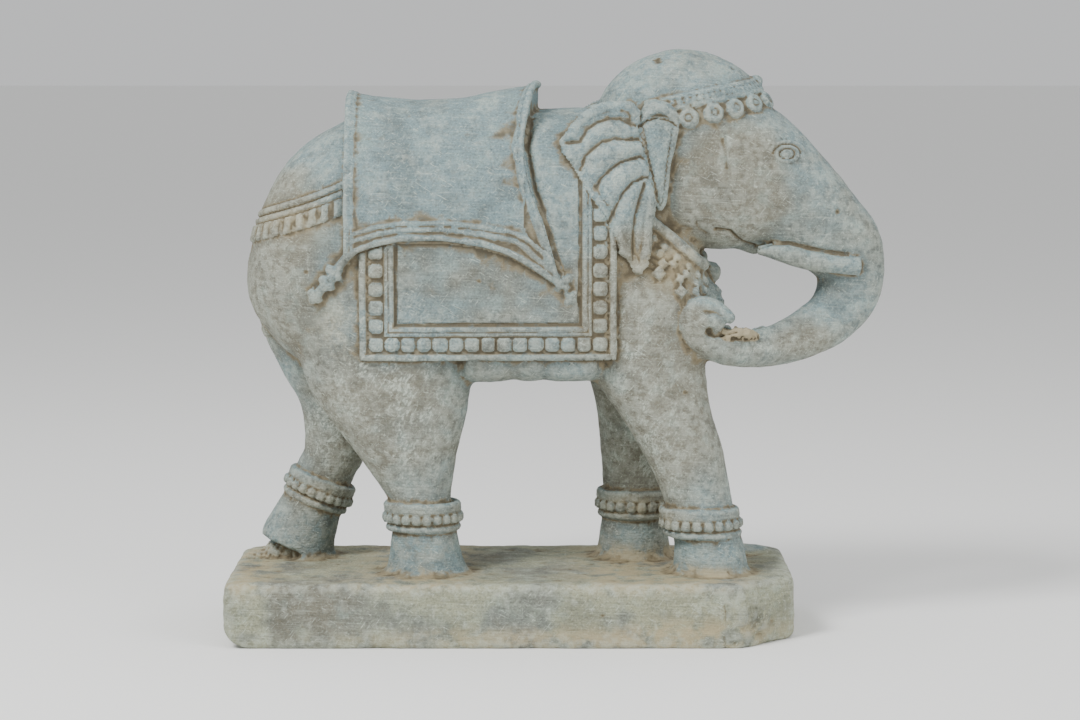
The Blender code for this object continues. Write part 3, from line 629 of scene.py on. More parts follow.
# %% Ear and leaf outlines
EAR = (
    (96, 437), (95, 454), (88, 462), (79, 463), (66, 463), (53, 459), (41, 452), (29, 439),
    (18, 426), (22, 416), (30, 404), (37, 393), (45, 378), (54, 365), (61, 355), (69, 341),
    (77, 320), (85, 312), (92, 300), (98, 300), (103, 308), (105, 322), (106, 338), (108, 354),
    (111, 370), (111, 380), (107, 394), (101, 413),
)
EAR_HEART = (76, 402)
EAR_RISE = 14.0
PLEATS = (
    ((25, 425), (38, 427), (45, 438), (54, 444), (65, 448), (77, 448), (92, 441)),
    ((38, 399), (43, 412), (51, 420), (60, 426), (72, 429), (83, 428), (95, 428)),
    ((54, 383), (58, 390), (67, 399), (77, 406), (87, 409), (96, 411), (104, 408)),
    ((66, 349), (74, 366), (80, 377), (90, 387), (101, 391), (109, 391)),
    ((101, 385), (96, 369), (92, 353), (90, 336), (89, 312)),
)
LEAF = (  # the long pendant in front of the ear
    (94, 441), (101, 446), (111, 449), (121, 448), (129, 445), (134, 441), (132, 427), (127, 404),
    (124, 376), (122, 363), (117, 357), (111, 364), (107, 384), (101, 408), (96, 428),
)
LEAF_HEART = (115, 415)
LEAF_CAP = (
    (94, 441), (97, 452), (103, 462), (114, 465), (124, 463), (132, 455), (135, 442), (128, 447),
    (120, 450), (110, 450), (101, 447),
)
LEAF_CAP_HEART = (114, 457)
LEAF_RISE = 15.0

# %% Padded slabs
PILLOW_WALL, PILLOW_DOME = 0.55, 0.45  # shares of its rise in its upright sides and its dome
PILLOW_RINGS = 5
PILLOW_DRAWN_IN = 0.96  # how far the last ring is drawn in to the heart


def pillow(block, outline, heart, rise, side, level=0.0, samples=44, sink=14):
    """A padded slab with this outline on the figure's flank; level 1 keeps its face flat."""
    border = curve_through(list(outline) + [outline[0]], samples + 1)[:-1]
    middle = np.array(heart, float)
    steps = [(-sink, 1.0), (rise * PILLOW_WALL, 1.0)]
    for k in range(1, PILLOW_RINGS + 1):
        share = k / PILLOW_RINGS
        lift = rise * (PILLOW_WALL + PILLOW_DOME * math.sin(share * math.pi / 2))
        steps.append((lift, 1 - share * PILLOW_DRAWN_IN))
    flat = skin(heart[0], heart[1], side)
    rings = []
    for lift, share in steps:
        ring = []
        for x, z in middle + (border - middle) * share:
            ground = skin(x, z, side) * (1 - level) + flat * level
            ring.append(Vector((x, ground + side * lift, z)))
        rings.append(ring)
    skin_rings(block, rings)


def carve_ears(block):
    for side in SIDES:
        pillow(block, EAR, EAR_HEART, EAR_RISE, side, level=0.4)
        pillow(block, LEAF, LEAF_HEART, LEAF_RISE, side, level=0.8, samples=36)
        pillow(block, LEAF_CAP, LEAF_CAP_HEART, LEAF_RISE, side, level=0.8, samples=30)


carve_ears(block)
print("with ears:", len(block.faces), "faces")

# %% [markdown]
# Headband and necklace
#
# The band is two thin rolls with a row of beads between and a fringe of ring pendants. The necklace
# is a plain roll over four rows of rough square lumps, larger from row to row, with two bosses on
# the chest. Rays shot at the head find where a sloping plane meets it, so each piece sits on the
# skin.

# %% Places round the head
BAND_HEART = Vector((160, 0, 463))  # a point on the headband's lower roll, inside the head
BAND_SLOPE = math.radians(11.5)
BAND_REACH = 128
MEDALLIONS = (15, 38, 61, 84, 107)  # turns from the front, in degrees
NECKLACE_HEART = Vector((80, 0, 372))
NECKLACE_SLOPE = math.radians(-40)
HEAD_RAY = 200  # rays at the head start this far from its heart


def around(core, heart, slope, drop, turns):
    """Places on the core where a sloping plane, moved down by drop, meets it.

    Turns are in degrees from the front. Each place has its Z axis on the outward normal."""
    ahead = Vector((math.cos(slope), 0, math.sin(slope)))
    below = Vector((math.sin(slope), 0, -math.cos(slope)))
    found = []
    for turn in turns:
        angle = math.radians(turn)
        way = ahead * math.cos(angle) + ACROSS * math.sin(angle)
        hit, normal, _, _ = core.ray_cast(heart + below * drop + way * HEAD_RAY, -way)
        side = normal.cross(below).normalized()
        axes = Matrix((side, side.cross(normal), normal)).transposed().to_4x4()
        found.append(Matrix.Translation(hit) @ axes)
    return found


def spread(reach, count):
    return [-reach + 2 * reach * i / (count - 1) for i in range(count)]


def bead(block, place, size, out=0.0):
    at = place @ Vector((0, 0, out))
    ball(block, (at.x, at.z, at.y), (size, size, size))

# %% Headband
BAND_ROLLS = ((0, 3.2), (-10.5, 2.6))  # drop and radius
BAND_BEADS = (-5.2, 41, 3.4)  # drop, count and radius
BAND_KNOB = (-8, 7.0)  # drop and radius
BAND_CLASPS = (-6, 5, (13, 13, 8))  # drop, degrees past the ends of the rolls, size
MEDALLION_DROP = 11.5
MEDALLION_RADIUS, MEDALLION_THICK = 6.6, 3.0
MEDALLION_LIFT, MEDALLION_SWELL = 1.2, 1.5  # how far out it sits, and how much deeper than wide


def carve_medallion(block, place):
    """A ring pendant."""
    rings = []
    for turn in full_turn(16):
        out = Vector((math.cos(turn), math.sin(turn), 0))
        ring = []
        for bend in full_turn(8):
            rise = MEDALLION_LIFT + MEDALLION_SWELL * MEDALLION_THICK * math.sin(bend)
            away = out * (MEDALLION_RADIUS + MEDALLION_THICK * math.cos(bend))
            ring.append(place @ (away + Vector((0, 0, rise))))
        rings.append(ring)
    skin_rings(block, rings, closed=True)


def carve_headband(block, core):
    beads = bmesh.new()
    for drop, thick in BAND_ROLLS:
        roll = around(core, BAND_HEART, BAND_SLOPE, drop, spread(BAND_REACH, 45))
        tube(block, [place.translation for place in roll], thick)
    drop, count, size = BAND_BEADS
    for place in around(core, BAND_HEART, BAND_SLOPE, drop, spread(BAND_REACH - 3, count)):
        bead(beads, place, size)
    turns = [side * turn for side in SIDES for turn in MEDALLIONS]
    for place in around(core, BAND_HEART, BAND_SLOPE, MEDALLION_DROP, turns):
        carve_medallion(block, place)
        bead(beads, place, size, 2.0)
    drop, size = BAND_KNOB
    bead(beads, around(core, BAND_HEART, BAND_SLOPE, drop, (0,))[0], size, 1.0)
    add_form(block, beads)
    drop, past, size = BAND_CLASPS
    ends = (-BAND_REACH - past, BAND_REACH + past)
    studs(block, around(core, BAND_HEART, BAND_SLOPE, drop, ends), size)


carve_headband(block, core)

# %% Necklace
NECKLACE_ROWS = (  # drop, size of a lump, reach in degrees, count
    (11, 5.2, 88, 31), (18, 5.6, 85, 29), (25.5, 7.0, 78, 21), (34.5, 10.0, 66, 15),
)
NECKLACE_ROLL = (1, 100, 33, 7.0)  # drop, reach in degrees, points along it, radius
LUMP_TURN, LUMP_SHIFT, LUMP_DEPTH = 0.3, 0.8, 0.9  # radians, units, and a share of the size
CHEST_BOSSES = ((160, 309, 7.0), (169, 293, 12.0))  # x, z, radius


def carve_necklace(block, core):
    drop, reach, count, thick = NECKLACE_ROLL
    roll = around(core, NECKLACE_HEART, NECKLACE_SLOPE, drop, spread(reach, count))
    tube(block, [place.translation for place in roll], thick)
    rough = np.random.default_rng(5)
    for drop, size, reach, count in NECKLACE_ROWS:
        places = []
        for place in around(core, NECKLACE_HEART, NECKLACE_SLOPE, drop, spread(reach, count)):
            turn = Matrix.Rotation(rough.uniform(-LUMP_TURN, LUMP_TURN), 4, "Z")
            shift = Matrix.Translation((0, rough.uniform(-LUMP_SHIFT, LUMP_SHIFT), 0))
            places.append(place @ shift @ turn)
        studs(block, places, (size, size, LUMP_DEPTH * size))
    bosses = bmesh.new()
    for x, z, size in CHEST_BOSSES:
        ball(bosses, (x, z, 0), (size, size, size))
    add_form(block, bosses)


carve_necklace(block, core)

# %% [markdown]
# Tail, anklets, tusks and the curl of the trunk
#
# The tail hangs in low relief. Each anklet is two rolls with a row of square studs, and leans with
# its leg. The trunk ends in a tight curl against the near foreleg, with old mortar left in it.

# %% Tail
TAIL = ((348, 6), (325, 6.5), (300, 6.5), (278, 6), (260, 5.5), (246, 5.5))  # z, radius
TAIL_SUNK = 0.8  # share of its radius by which its middle lies within the rump
TUFT_SHIFT, TUFT_RADII = (3, -4), (8, 15, 9)


def carve_tail(block, core):
    path = []
    for z, radius in TAIL:
        hit = core.ray_cast(Vector((-RAY_START, 0, z)), Vector((1, 0, 0)))[0]
        path.append((hit.x + radius * TAIL_SUNK, z, 0, radius, radius))
    loft(block, path, sides=10, count=16)
    x, z = path[-1][:2]
    ball(block, (x + TUFT_SHIFT[0], z + TUFT_SHIFT[1], 0), TUFT_RADII)


carve_tail(block, core)

# %% Anklets
ANKLETS = (  # x, z, y, tilt, lean of the leg, half length, half depth
    (-117, 55, -46, 0.0, -0.05, 36.0, 34.5),
    (159, 49, -46, 0.0, -0.16, 38.0, 35.5),
    (97, 54, 50, 0.0, 0.0, 38.0, 36.0),
    (-227.5, 67, 50, TRAILING_TILT, 0.0, 33.5, 33.5),
)
ANKLET_ROLLS = (  # rise, how far out, radius
    (12.5, -1.2, 4.0), (8.5, -1.2, 4.0), (0, -3.4, 5.0), (-9.5, -1.6, 3.4),
)
ANKLET_STUDS = 22
STUD_SIZE = (8.8, 7.6, 8.0)


def carve_anklets(block):
    """Each anklet is a roll, a row of square studs and a thinner roll round the leg."""
    for x, z, y, tilt, lean, long, deep in ANKLETS:
        level = Vector((math.cos(tilt), 0, -math.sin(tilt)))
        up = Vector((math.sin(tilt), 0, math.cos(tilt)))
        heart = Vector((x, y, z))

        def round_leg(rise, out, turn):
            centre = heart + up * rise + level * (lean * rise)
            ahead = level * ((long + out) * math.cos(turn))
            return centre + ahead + ACROSS * ((deep + out) * math.sin(turn))

        for rise, out, thick in ANKLET_ROLLS:
            rings = []
            for turn in full_turn(32):
                at = round_leg(rise, out, turn)
                away = (at - round_leg(rise, out, turn + math.pi)).normalized()
                rings.append([
                    at + away * (thick * math.cos(bend)) + up * (thick * math.sin(bend))
                    for bend in full_turn(8)
                ])
            skin_rings(block, rings, closed=True)
        places = []
        for turn in full_turn(ANKLET_STUDS):
            at = round_leg(0, 0, turn)
            away = (at - round_leg(0, 0, turn + math.pi)).normalized()
            axes = Matrix((away, up.cross(away), up)).transposed().to_4x4()
            places.append(Matrix.Translation(at) @ axes)
        studs(block, places, STUD_SIZE)


carve_anklets(block)

# %% Trunk end and mortar
def carve_trunk_end(block):
    for side in SIDES:
        loft(block, [(x, z, side * y, a, b) for x, z, y, a, b in TUSK], sides=14, count=12)
    loft(block, CURL, sides=20, count=30)
    for centre, radii in CURL_HEARTS:
        ball(block, centre, radii, smoothness=3)


MORTAR = (  # old mortar left in the curl of the trunk and under the raised heel
    ((183, 238, -72), (8, 5, 8)),
    ((192, 240, -72), (7, 5.5, 8)),
    ((200, 239, -69), (8, 5, 9)),
    ((208, 237, -66), (5, 4, 6)),
    ((-295, -2, 46), (12, 5, 16)),
    ((-282, -1, 50), (13, 7, 18)),
    ((-270, 4, 50), (14, 13, 20)),
    ((-258, 6, 50), (14, 14, 22)),
    ((-247, 4, 46), (12, 9, 24)),
)


def carve_mortar(block):
    for centre, radii in MORTAR:
        ball(block, centre, radii)


carve_trunk_end(block)
carve_mortar(block)
print("all forms:", len(block.faces), "faces")

# %% [markdown]
# Second fusing
#
# The dressed figure is fused again at a voxel of 1.5 mm. That leaves a skin of even small faces,
# which relief can push in and out.

# %% Second fusing
carving = fused(block, GRAIN, RUBS)
print("fused skin:", len(carving.polygons), "faces")

# %% [markdown]
# Low relief
#
# Borders, pleats, the fringe, the eye and the mouth are a few millimetres deep and are drawn on the
# side view, as a carver draws them on the flank with a point. Each is a function of a point's place
# that says how far it moves along its normal.

# %% Relief helpers
def line_distance(x, z, line):
    """Distance of each point of the side view to a line of points."""
    points = np.column_stack([x, z])
    best = np.full(len(points), 1e9)
    for start, end in zip(np.array(line[:-1], float), np.array(line[1:], float)):
        way = end - start
        t = np.clip((points - start) @ way / (way @ way), 0, 1)
        best = np.minimum(best, np.linalg.norm(points - start - t[:, None] * way, axis=1))
    return best


def inside(x, z, outline):
    """Whether each point of the side view lies within a closed outline."""
    found = np.zeros(len(x), bool)
    for (x0, z0), (x1, z1) in zip(outline, outline[1:] + outline[:1]):
        crosses = (z0 > z) != (z1 > z)
        at = x0 + (z - z0) / (z1 - z0 + 1e-9) * (x1 - x0)
        found ^= crosses & (x < at)
    return found


def rise_between(value, low, high):
    t = np.clip((value - low) / (high - low), 0, 1)
    return t * t * (3 - 2 * t)


def ridge(value, middle, half):
    """1 on the top of a round rail, falling to 0 at its edges."""
    return np.sqrt(np.clip(1 - ((value - middle) / half) ** 2, 0, 1))


def notch(off, width):
    """1 in the middle of a soft cut, nearly 0 at twice this width off it."""
    return np.exp(-((off / width) ** 2))

# %% Relief of the cloths
CHANNEL = 15.5  # from the blanket's edge to the middle of its row of beads
BEADS_UP = 10  # beads above the lowest one on each side
BEAD_STRETCH = 1.12  # their pitch up the sides, as a share of that along the hem
BEAD_HALF = (6.5, 7.5)  # least and greatest half size of a bead
BEAD_POWER = 3.2  # 2 is round and a large number is square


def bead_rows():
    """Middles of the border's beads along its hem and up both sides."""
    first, last = BLANKET_REAR + CHANNEL, BLANKET_FRONT - CHANNEL
    low = BLANKET_HEM + CHANNEL
    columns = 1 + round((last - first) / BEAD_PITCH)
    beads = [(first + i * (last - first) / (columns - 1), low) for i in range(columns)]
    rises = [low + i * BEAD_PITCH * BEAD_STRETCH for i in range(1, BEADS_UP + 1)]
    return beads + [(x, z) for x in (first, last) for z in rises]


def blanket_relief(x, z, flank):
    """A double outer rail, worn square beads in a channel, a double inner rail and a sunk field."""
    edge = np.minimum(np.minimum(x - BLANKET_REAR, BLANKET_FRONT - x), z - BLANKET_HEM)
    height = 2.2 * ridge(edge, 3.2, 3.6) - 1.4 * ridge(edge, 7.6, 1.6)
    height += 1.8 * ridge(edge, 25.2, 2.4) + 2.0 * ridge(edge, 30.4, 2.6) - 2.2 * ridge(edge, 34.5, 2.4)
    uneven = np.random.default_rng(11)
    for bead_x, bead_z in bead_rows():
        wide, tall = uneven.uniform(*BEAD_HALF, 2)
        right, up = np.abs((x - bead_x) / wide), np.abs((z - bead_z) / tall)
        reach = (right**BEAD_POWER + up**BEAD_POWER + 1e-9) ** (1 / BEAD_POWER)
        dome = 3.6 * np.sqrt(np.clip(1 - reach**4, 0, 1)) - 0.9 * notch(reach - 1.12, 0.12)
        near = reach < 1.4
        height[near] = np.maximum(height, flank * dome)[near]
    height -= 1.1 * rise_between(edge, 34, 37)
    return height * (edge > -0.5) * (1 - rise_between(z, 425, 440))


EDGE_POINTS = [saddle_point(1.0, i / 30) for i in range(4, 31)]
SADDLE_EDGE = np.array([[point.x, point.z] for point in EDGE_POINTS])


def collar_gap(x, z):
    """The dark gap in front of the saddle cloth's raised edge."""
    line = np.interp(-z, -SADDLE_EDGE[:, 1], SADDLE_EDGE[:, 0])
    ahead = x - line
    deep = 1.5 + 3.5 * rise_between(z, 350, 380) * (1 - rise_between(z, 430, 452))
    return -deep * notch(ahead - 7.5, 3.2) * rise_between(z, 296, 316)


def crupper_relief(x, y, z):
    """Two cords and a fringe of strips round the rump."""
    turn = np.degrees(np.arctan2(y / 90, -(x + 190) / 100))
    below = 352 + 33 * (np.abs(turn) / 90) ** 2 - z
    height = 2.4 * ridge(below, 0, 3.2) - 1.0 * ridge(below, 4, 1.2) + 2.2 * ridge(below, 8, 3.2)
    strips = np.clip(0.35 + 0.9 * np.cos(np.radians(turn) * 50), 0, 1)
    hang = rise_between(below, 12, 13.5) * (1 - rise_between(below, 27, 29))
    return (height + hang * (0.8 + 2.4 * strips)) * (np.abs(turn) < 92)

# %% Relief of the head
def ear_relief(x, z):
    """Pleats that swell between narrow cuts, within a low rim."""
    gap = np.min([line_distance(x, z, line) for line in PLEATS], axis=0)
    rim = line_distance(x, z, EAR + EAR[:1])
    folds = 3.4 * (1 - notch(gap, 7.5)) - 2.6 * notch(gap, 2.1)
    return folds + 1.2 * ridge(rim, 4.5, 3.5)


LEAF_EDGE = (
    (96, 437), (101, 408), (107, 384), (111, 364), (117, 358), (123, 366), (127, 404), (132, 438),
)
LEAF_CAP_LINE = ((95, 440), (103, 446), (114, 449), (125, 446), (134, 440))


def leaf_relief(x, z):
    """A groove just within the leaf's edge, a cut under its cap and rows of fine dots."""
    height = -1.0 * notch(line_distance(x, z, LEAF_EDGE) - 4.0, 1.3)
    height -= 2.2 * notch(line_distance(x, z, LEAF_CAP_LINE), 1.5)
    return height - 0.35 * np.cos(x * 1.6) * np.cos(z * 1.2)


def eye_relief(x, z):
    """An almond eyeball with a small pupil, between lids, with a wrinkle over it."""
    right, up = x - EYE[0], z - EYE[1]
    almond = np.hypot(right / 1.45, up)
    pupil = np.hypot(right, up)
    height = 1.6 * np.sqrt(np.clip(1 - (almond / 4.6) ** 2, 0, 1))
    height -= 0.9 * notch(pupil - 2.4, 0.8) + 1.0 * notch(almond - 5.2, 1.0)
    height += 1.3 * ridge(almond, 7.2, 1.6) - 1.0 * notch(almond - 9.6, 1.2) * (up > 0)
    return height + 0.9 * ridge(almond, 11.8, 1.8) * (up > 2)


MOUTH = ((172, 339), (179, 338), (186, 337), (192, 331), (199, 325), (213, 320))
LIP = ((212, 318), (226, 324), (244, 325), (262, 321), (284, 317), (304, 314))
SOFT_LINES = (((177, 427), (180, 414), (181, 400)), ((152, 346), (156, 339), (163, 335)))


def face_relief(x, z):
    """The cut of the mouth, the groove over the tusk and two soft lines of the temple and cheek."""
    height = -4.2 * notch(line_distance(x, z, MOUTH), 1.7)
    height -= 1.5 * notch(line_distance(x, z, LIP), 1.7)
    for line in SOFT_LINES:
        height -= 1.0 * notch(line_distance(x, z, line), 2.2)
    return height


CURL_CUT = ((190, 241), (180, 238.5), (170, 237), (163, 240))
CURL_ARC = ((150, 245), (152, 256), (161, 262), (171, 260), (178, 252), (176, 246))
CURL_PIT = (164, 242)


def curl_relief(x, z):
    """The cut under the tip of the trunk, a faint ring round the curl and the dark pit in it."""
    cut = -3.0 * notch(line_distance(x, z, CURL_CUT), 1.5)
    ring = -0.5 * notch(line_distance(x, z, CURL_ARC), 2.4)
    pit = notch(np.hypot((x - CURL_PIT[0]) / 3.6, (z - CURL_PIT[1]) / 3.6), 1.0)
    return cut + ring - 4.5 * pit

# %% All the relief together
FLANK_OUT, FLANK_DEPTH = 0.3, 45  # least sideways share of the normal, and least depth
LEAF_OUT, LEAF_DEPTH = 0.4, 40  # the same for the leaf
CURL_SIDE = -72  # the curl's relief is cut on its near face only
NO_END = 999  # past the end of the figure
REGIONS = {  # left, right, bottom and top in the side view
    "collar": (-20, 60, -NO_END, NO_END),
    "crupper": (-NO_END, -192, 300, NO_END),
    "eye": (215, NO_END, 385, NO_END),
    "face": (150, 305, 300, 440),
    "curl": (140, NO_END, 225, 275),
}


def in_region(x, z, name):
    left, right, low, high = REGIONS[name]
    return (x > left) & (x < right) & (z > low) & (z < high)


def relief(points, normals):
    """How far each point of the fused surface moves along its normal."""
    x, y, z = points.T
    outward = normals[:, 1] * np.sign(y)
    flank = (outward > FLANK_OUT) & (np.abs(y) > FLANK_DEPTH)
    hem = [height for _, height in SADDLE_HEM]
    below_saddle = z < np.interp(x, [place for place, _ in SADDLE_HEM], hem) - 5
    past_saddle = x > 22 - 38 * rise_between(z, 300, 345)
    in_leaf = inside(x, z, LEAF)
    ear = flank & inside(x, z, EAR) & ~in_leaf
    cloth = (flank | ((z > 400) & (x > 15))) & (below_saddle | past_saddle)
    cloth &= ~ear & ~in_leaf & (z > BLANKET_HEM - 1) & (x < BLANKET_FRONT)
    leaf = in_leaf & (outward > LEAF_OUT) & (np.abs(y) > LEAF_DEPTH)
    cheek = outward > FLANK_OUT
    height = np.where(cloth, blanket_relief(x, z, flank), 0)
    height += np.where(flank & in_region(x, z, "collar") & ~ear, collar_gap(x, z), 0)
    height += np.where(in_region(x, z, "crupper"), crupper_relief(x, y, z), 0)
    height += np.where(ear, ear_relief(x, z), 0)
    height += np.where(leaf, leaf_relief(x, z), 0)
    height += np.where(cheek & in_region(x, z, "eye"), eye_relief(x, z), 0)
    height += np.where(cheek & in_region(x, z, "face"), face_relief(x, z), 0)
    return height + np.where((y < CURL_SIDE) & in_region(x, z, "curl"), curl_relief(x, z), 0)


points, normals = coordinates(carving, "vertices"), coordinates(carving, "vertex_normals")
depth = relief(points, normals)
print("relief from %.1f to %.1f mm" % (depth.min(), depth.max()))

# %% [markdown]
# Wear
#
# No hand-cut face is flat. A lattice of random values, read smoothly between its points, gives
# swells 26 mm apart, tool dents 9 mm apart and a rougher skin on the plinth. The larger pits, the
# cracks and the knocked corner are placed where the photograph shows them.

# %% Uneven faces
def swell(points, size, seed):
    """Smooth random values from -1 to 1, with bumps about this many units apart."""
    lattice = np.random.default_rng(seed).uniform(-1, 1, (32, 32, 32))
    at = points / size
    low = np.floor(at).astype(int)
    t = at - low
    t = t * t * (3 - 2 * t)
    total = np.zeros(len(points))
    for corner in np.ndindex(2, 2, 2):
        weight = np.prod(np.where(corner, t, 1 - t), axis=1)
        i, j, k = ((low + corner) % 32).T
        total += weight * lattice[i, j, k]
    return total


def hewn(points):
    """The unevenness that the tools left: gentle on the figure, coarse on the plinth."""
    z = points[:, 2]
    slab = 1 - rise_between(z, -9, 0)
    stretched = points * np.array((0.55, 1.0, 1.0))  # tool dents are longer than they are high
    figure = 0.7 * swell(points, 26, 1) + 0.38 * swell(stretched, 9, 2) + 0.2 * swell(points, 4, 3)
    plinth = 1.1 * swell(stretched, 22, 4) + 0.6 * swell(points, 8, 5) + 0.35 * swell(points, 3.5, 6)
    return figure * (1 - slab) + plinth * slab

# %% Pits, cracks and a knocked corner
PITS = (  # x, z, half width, half height and depth, on the show side
    (115, 504, 3.8, 2.4, 3.0),
    (190, 497, 2.6, 2.0, 2.4),
    (293, 356, 2.6, 2.6, 2.4),
    (146, 461, 1.8, 1.8, 1.6),
    (-228, 300, 3.0, 2.0, 1.2),
    (-60, 292, 2.4, 1.8, 1.0),
    (142, 182, 2.6, 2.0, 1.4),
    (60, -30, 3.0, 2.0, 1.6),
    (196, -44, 7.0, 3.5, 2.4),
    (214, -52, 5.0, 4.0, 2.6),
    (188, -58, 5.0, 3.0, 2.2),
    (228, -40, 4.0, 5.0, 1.8),
)
CRACKS = (  # on the front of the plinth
    ((178, -21), (179, -27), (178.5, -35)),
    ((178, -51), (179.5, -58), (179, -63)),
)


def worn_places(points):
    """How deep the placed pits and cracks go at each point."""
    x, y, z = points.T
    depth = np.zeros(len(points))
    show = y < -20
    for pit_x, pit_z, wide, tall, deep in PITS:
        reach = np.hypot((x - pit_x) / wide, (z - pit_z) / tall)
        depth += deep * notch(reach, 1.0) * show
    face = (y < -110) & (z < -6)
    for line in CRACKS:
        depth += 1.6 * notch(line_distance(x, z, line), 1.3) * face
    return depth


MORTAR_MARGIN = 2.5  # how far past its lumps the mortar is smeared
HOLE_DEPTH, HOLE_SIZE = 1.8, 3.4


def porous(points):
    """How much of each point is old mortar, and the depth of the mortar's holes there."""
    share = np.zeros(len(points))
    for (x, z, y), (wide, tall, deep) in MORTAR:
        radii = (wide + MORTAR_MARGIN, deep + MORTAR_MARGIN, tall + MORTAR_MARGIN)
        reach = np.linalg.norm((points - (x, y, z)) / radii, axis=1)
        share = np.maximum(share, 1 - rise_between(reach, 0.85, 1.15))
    share *= (points[:, 2] > -1) & ((points[:, 2] < 14) | (points[:, 0] > 170))
    return share, share * HOLE_DEPTH * swell(points, HOLE_SIZE, 7)


BROKEN_RADIUS, BROKEN_STRETCH = 24.0, 1.6  # how high the knock reaches, and how much longer it is
BROKEN_LESS = 0.7  # share by which it is smaller on the far side
SPARED = 0.35  # share of the tool marks left off where relief is carved


def broken_corner(points):
    """Rounds the plinth's lower rear corner, most on the show side, as it was knocked in use."""
    x, y, z = points.T
    left, bottom = FOOTPRINT[0] - PLINTH_MARGINS[0], -PLINTH_THICKNESS
    radius = BROKEN_RADIUS * (1 - BROKEN_LESS * rise_between(y, -120, 60))
    radius += 2.0 * swell(points, 12, 8)
    right, up = x - left - BROKEN_STRETCH * radius, z - bottom - radius
    reach = np.hypot(right / BROKEN_STRETCH, up)
    outside = (right < 0) & (up < 0) & (reach > radius)
    share = np.where(outside, radius / np.maximum(reach, 1e-6), 1.0)
    return np.column_stack([x + right * (share - 1), y, z + up * (share - 1)])


carved = np.abs(depth) > 0.5
_, holes = porous(points)
moved = depth + hewn(points) * (1 - SPARED * carved) - worn_places(points) - holes
points = broken_corner(points + normals * moved[:, None])
carving.vertices.foreach_set("co", points.astype(np.float32).ravel())
carving.update()
print("surface moved from %.1f to %.1f mm" % (moved.min(), moved.max()))

# %% [markdown]
# Thinning and sawing
#
# Most of the fused skin's faces lie on broad calm surfaces and add nothing. Decimate collapses
# those first and keeps the fine ones on beads and pleats. Then the block is sawn off level, and
# brought to metres in the solid model's box.

# %% Thin, saw and place
SAW_HEIGHT = 1.2  # how far up the rough underside the block is sawn off


def level_underside(block):
    """Saws the block off level, just above the bottom of its fused skin."""
    base = Vector((0, 0, -PLINTH_THICKNESS + SAW_HEIGHT))
    everything = block.verts[:] + block.edges[:] + block.faces[:]
    cut = bmesh.ops.bisect_plane(
        block, geom=everything, dist=0.01, plane_co=base, plane_no=(0, 0, 1), clear_inner=True
    )
    rim = [item for item in cut["geom_cut"] if isinstance(item, bmesh.types.BMEdge)]
    bmesh.ops.contextual_create(block, geom=rim)
    bmesh.ops.triangulate(block, faces=block.faces)
    bmesh.ops.recalc_face_normals(block, faces=block.faces)


def settle(mesh, low, high):
    """Brings the carving to metres and fits it between the solid's lowest and highest corners."""
    points = coordinates(mesh, "vertices")
    base, top = points.min(axis=0), points.max(axis=0)
    shares = (np.array(high) - np.array(low)) / (top - base)
    print("fitted by", [round(float(share / UNIT), 4) for share in shares])
    stretch = Matrix.Diagonal((*shares, 1.0))
    fit = Matrix.Translation(Vector(low)) @ stretch @ Matrix.Translation(Vector(-base))
    mesh.transform(fit)
    return fit


carving = worked(carving, ("DECIMATE", {"ratio": TRIANGLES / (2 * len(carving.polygons))}))
block = bmesh.new()
block.from_mesh(carving)
level_underside(block)
block.to_mesh(carving)
block.free()
fit = settle(carving, *CAD_BOX)
print("carving:", len(carving.polygons), "triangles")

# %% [markdown]
# Where dirt and wear gather, and where shade is painted
#
# Rain washes the high places and leaves lime and dust in the hollows, and painted shade darkens
# the sharpest grooves. Comparing each vertex with a smoothed copy of the mesh shows which is which,
# and attributes carry that to the material.

# %% Hollows and high places
FINE_FULL, SHARP_FULL = 0.7, 0.4  # units deep: a hollow full of dust, a groove in full painted shade
BROAD_FROM, BROAD_FULL = 2.0, 14.0  # where wide hollows start to count, and over how many units
SIDE_DUST_AND_SHADE = 0.4  # the plinth's upright sides hold less dust and get less painted shade


def smoothed(points, pairs, rounds):
    """The vertices after moving each one to the average of its neighbours, again and again."""
    count = len(points)
    first, second = pairs.T
    degree = np.bincount(pairs.ravel(), minlength=count)
    for _ in range(rounds):
        total = [
            np.bincount(first, along[second], count) + np.bincount(second, along[first], count)
            for along in points.T
        ]
        points = (points + np.stack(total, axis=1) / degree[:, None]) / 2
    return points


def sunk(rounds):
    """How many units each vertex lies below its surroundings, wider ones with more rounds."""
    return np.einsum("ij,ij->i", smoothed(points, pairs, rounds) - points, normals) / UNIT


def give(mesh, name, values):
    """Puts a value from 0 to 1 on each vertex, for the material to read."""
    layer = mesh.attributes.new(name, "FLOAT", "POINT")
    layer.data.foreach_set("value", np.clip(values, 0, 1).astype(np.float32))


pairs = np.empty(len(carving.edges) * 2, np.int32)
carving.edges.foreach_get("vertices", pairs)
pairs = pairs.reshape(-1, 2)
points, normals = coordinates(carving, "vertices"), coordinates(carving, "vertex_normals")
sharp, fine, broad = (sunk(rounds) for rounds in (3, 10, 70))
plinth_top = CAD_BOX[0][2] + PLINTH_THICKNESS * UNIT
calm = np.where(points[:, 2] < plinth_top - 2 * UNIT, SIDE_DUST_AND_SHADE, 1.0)
hollow = fine / FINE_FULL + np.clip(broad - BROAD_FROM, 0, None) / BROAD_FULL
give(carving, "hollow", calm * hollow)
# painted shade: the sharpest grooves, darkened with DEEP in the material
give(carving, "groove", calm * sharp / SHARP_FULL)
give(carving, "high", -fine / FINE_FULL)
print("hollows on %.0f%% of the vertices" % (100 * np.mean(fine > 0.2)))

# %% Zones of colour and painted shade
WASHED_ALL, WASHED_ABOVE = 0.25, 0.2  # how blue every face is, and how much more one that looks up
SLAB_DRIER, SLAB_BROWNER = 0.6, 0.05
HEEL_MORTAR = 0.45  # the mortar under the heel has greyed


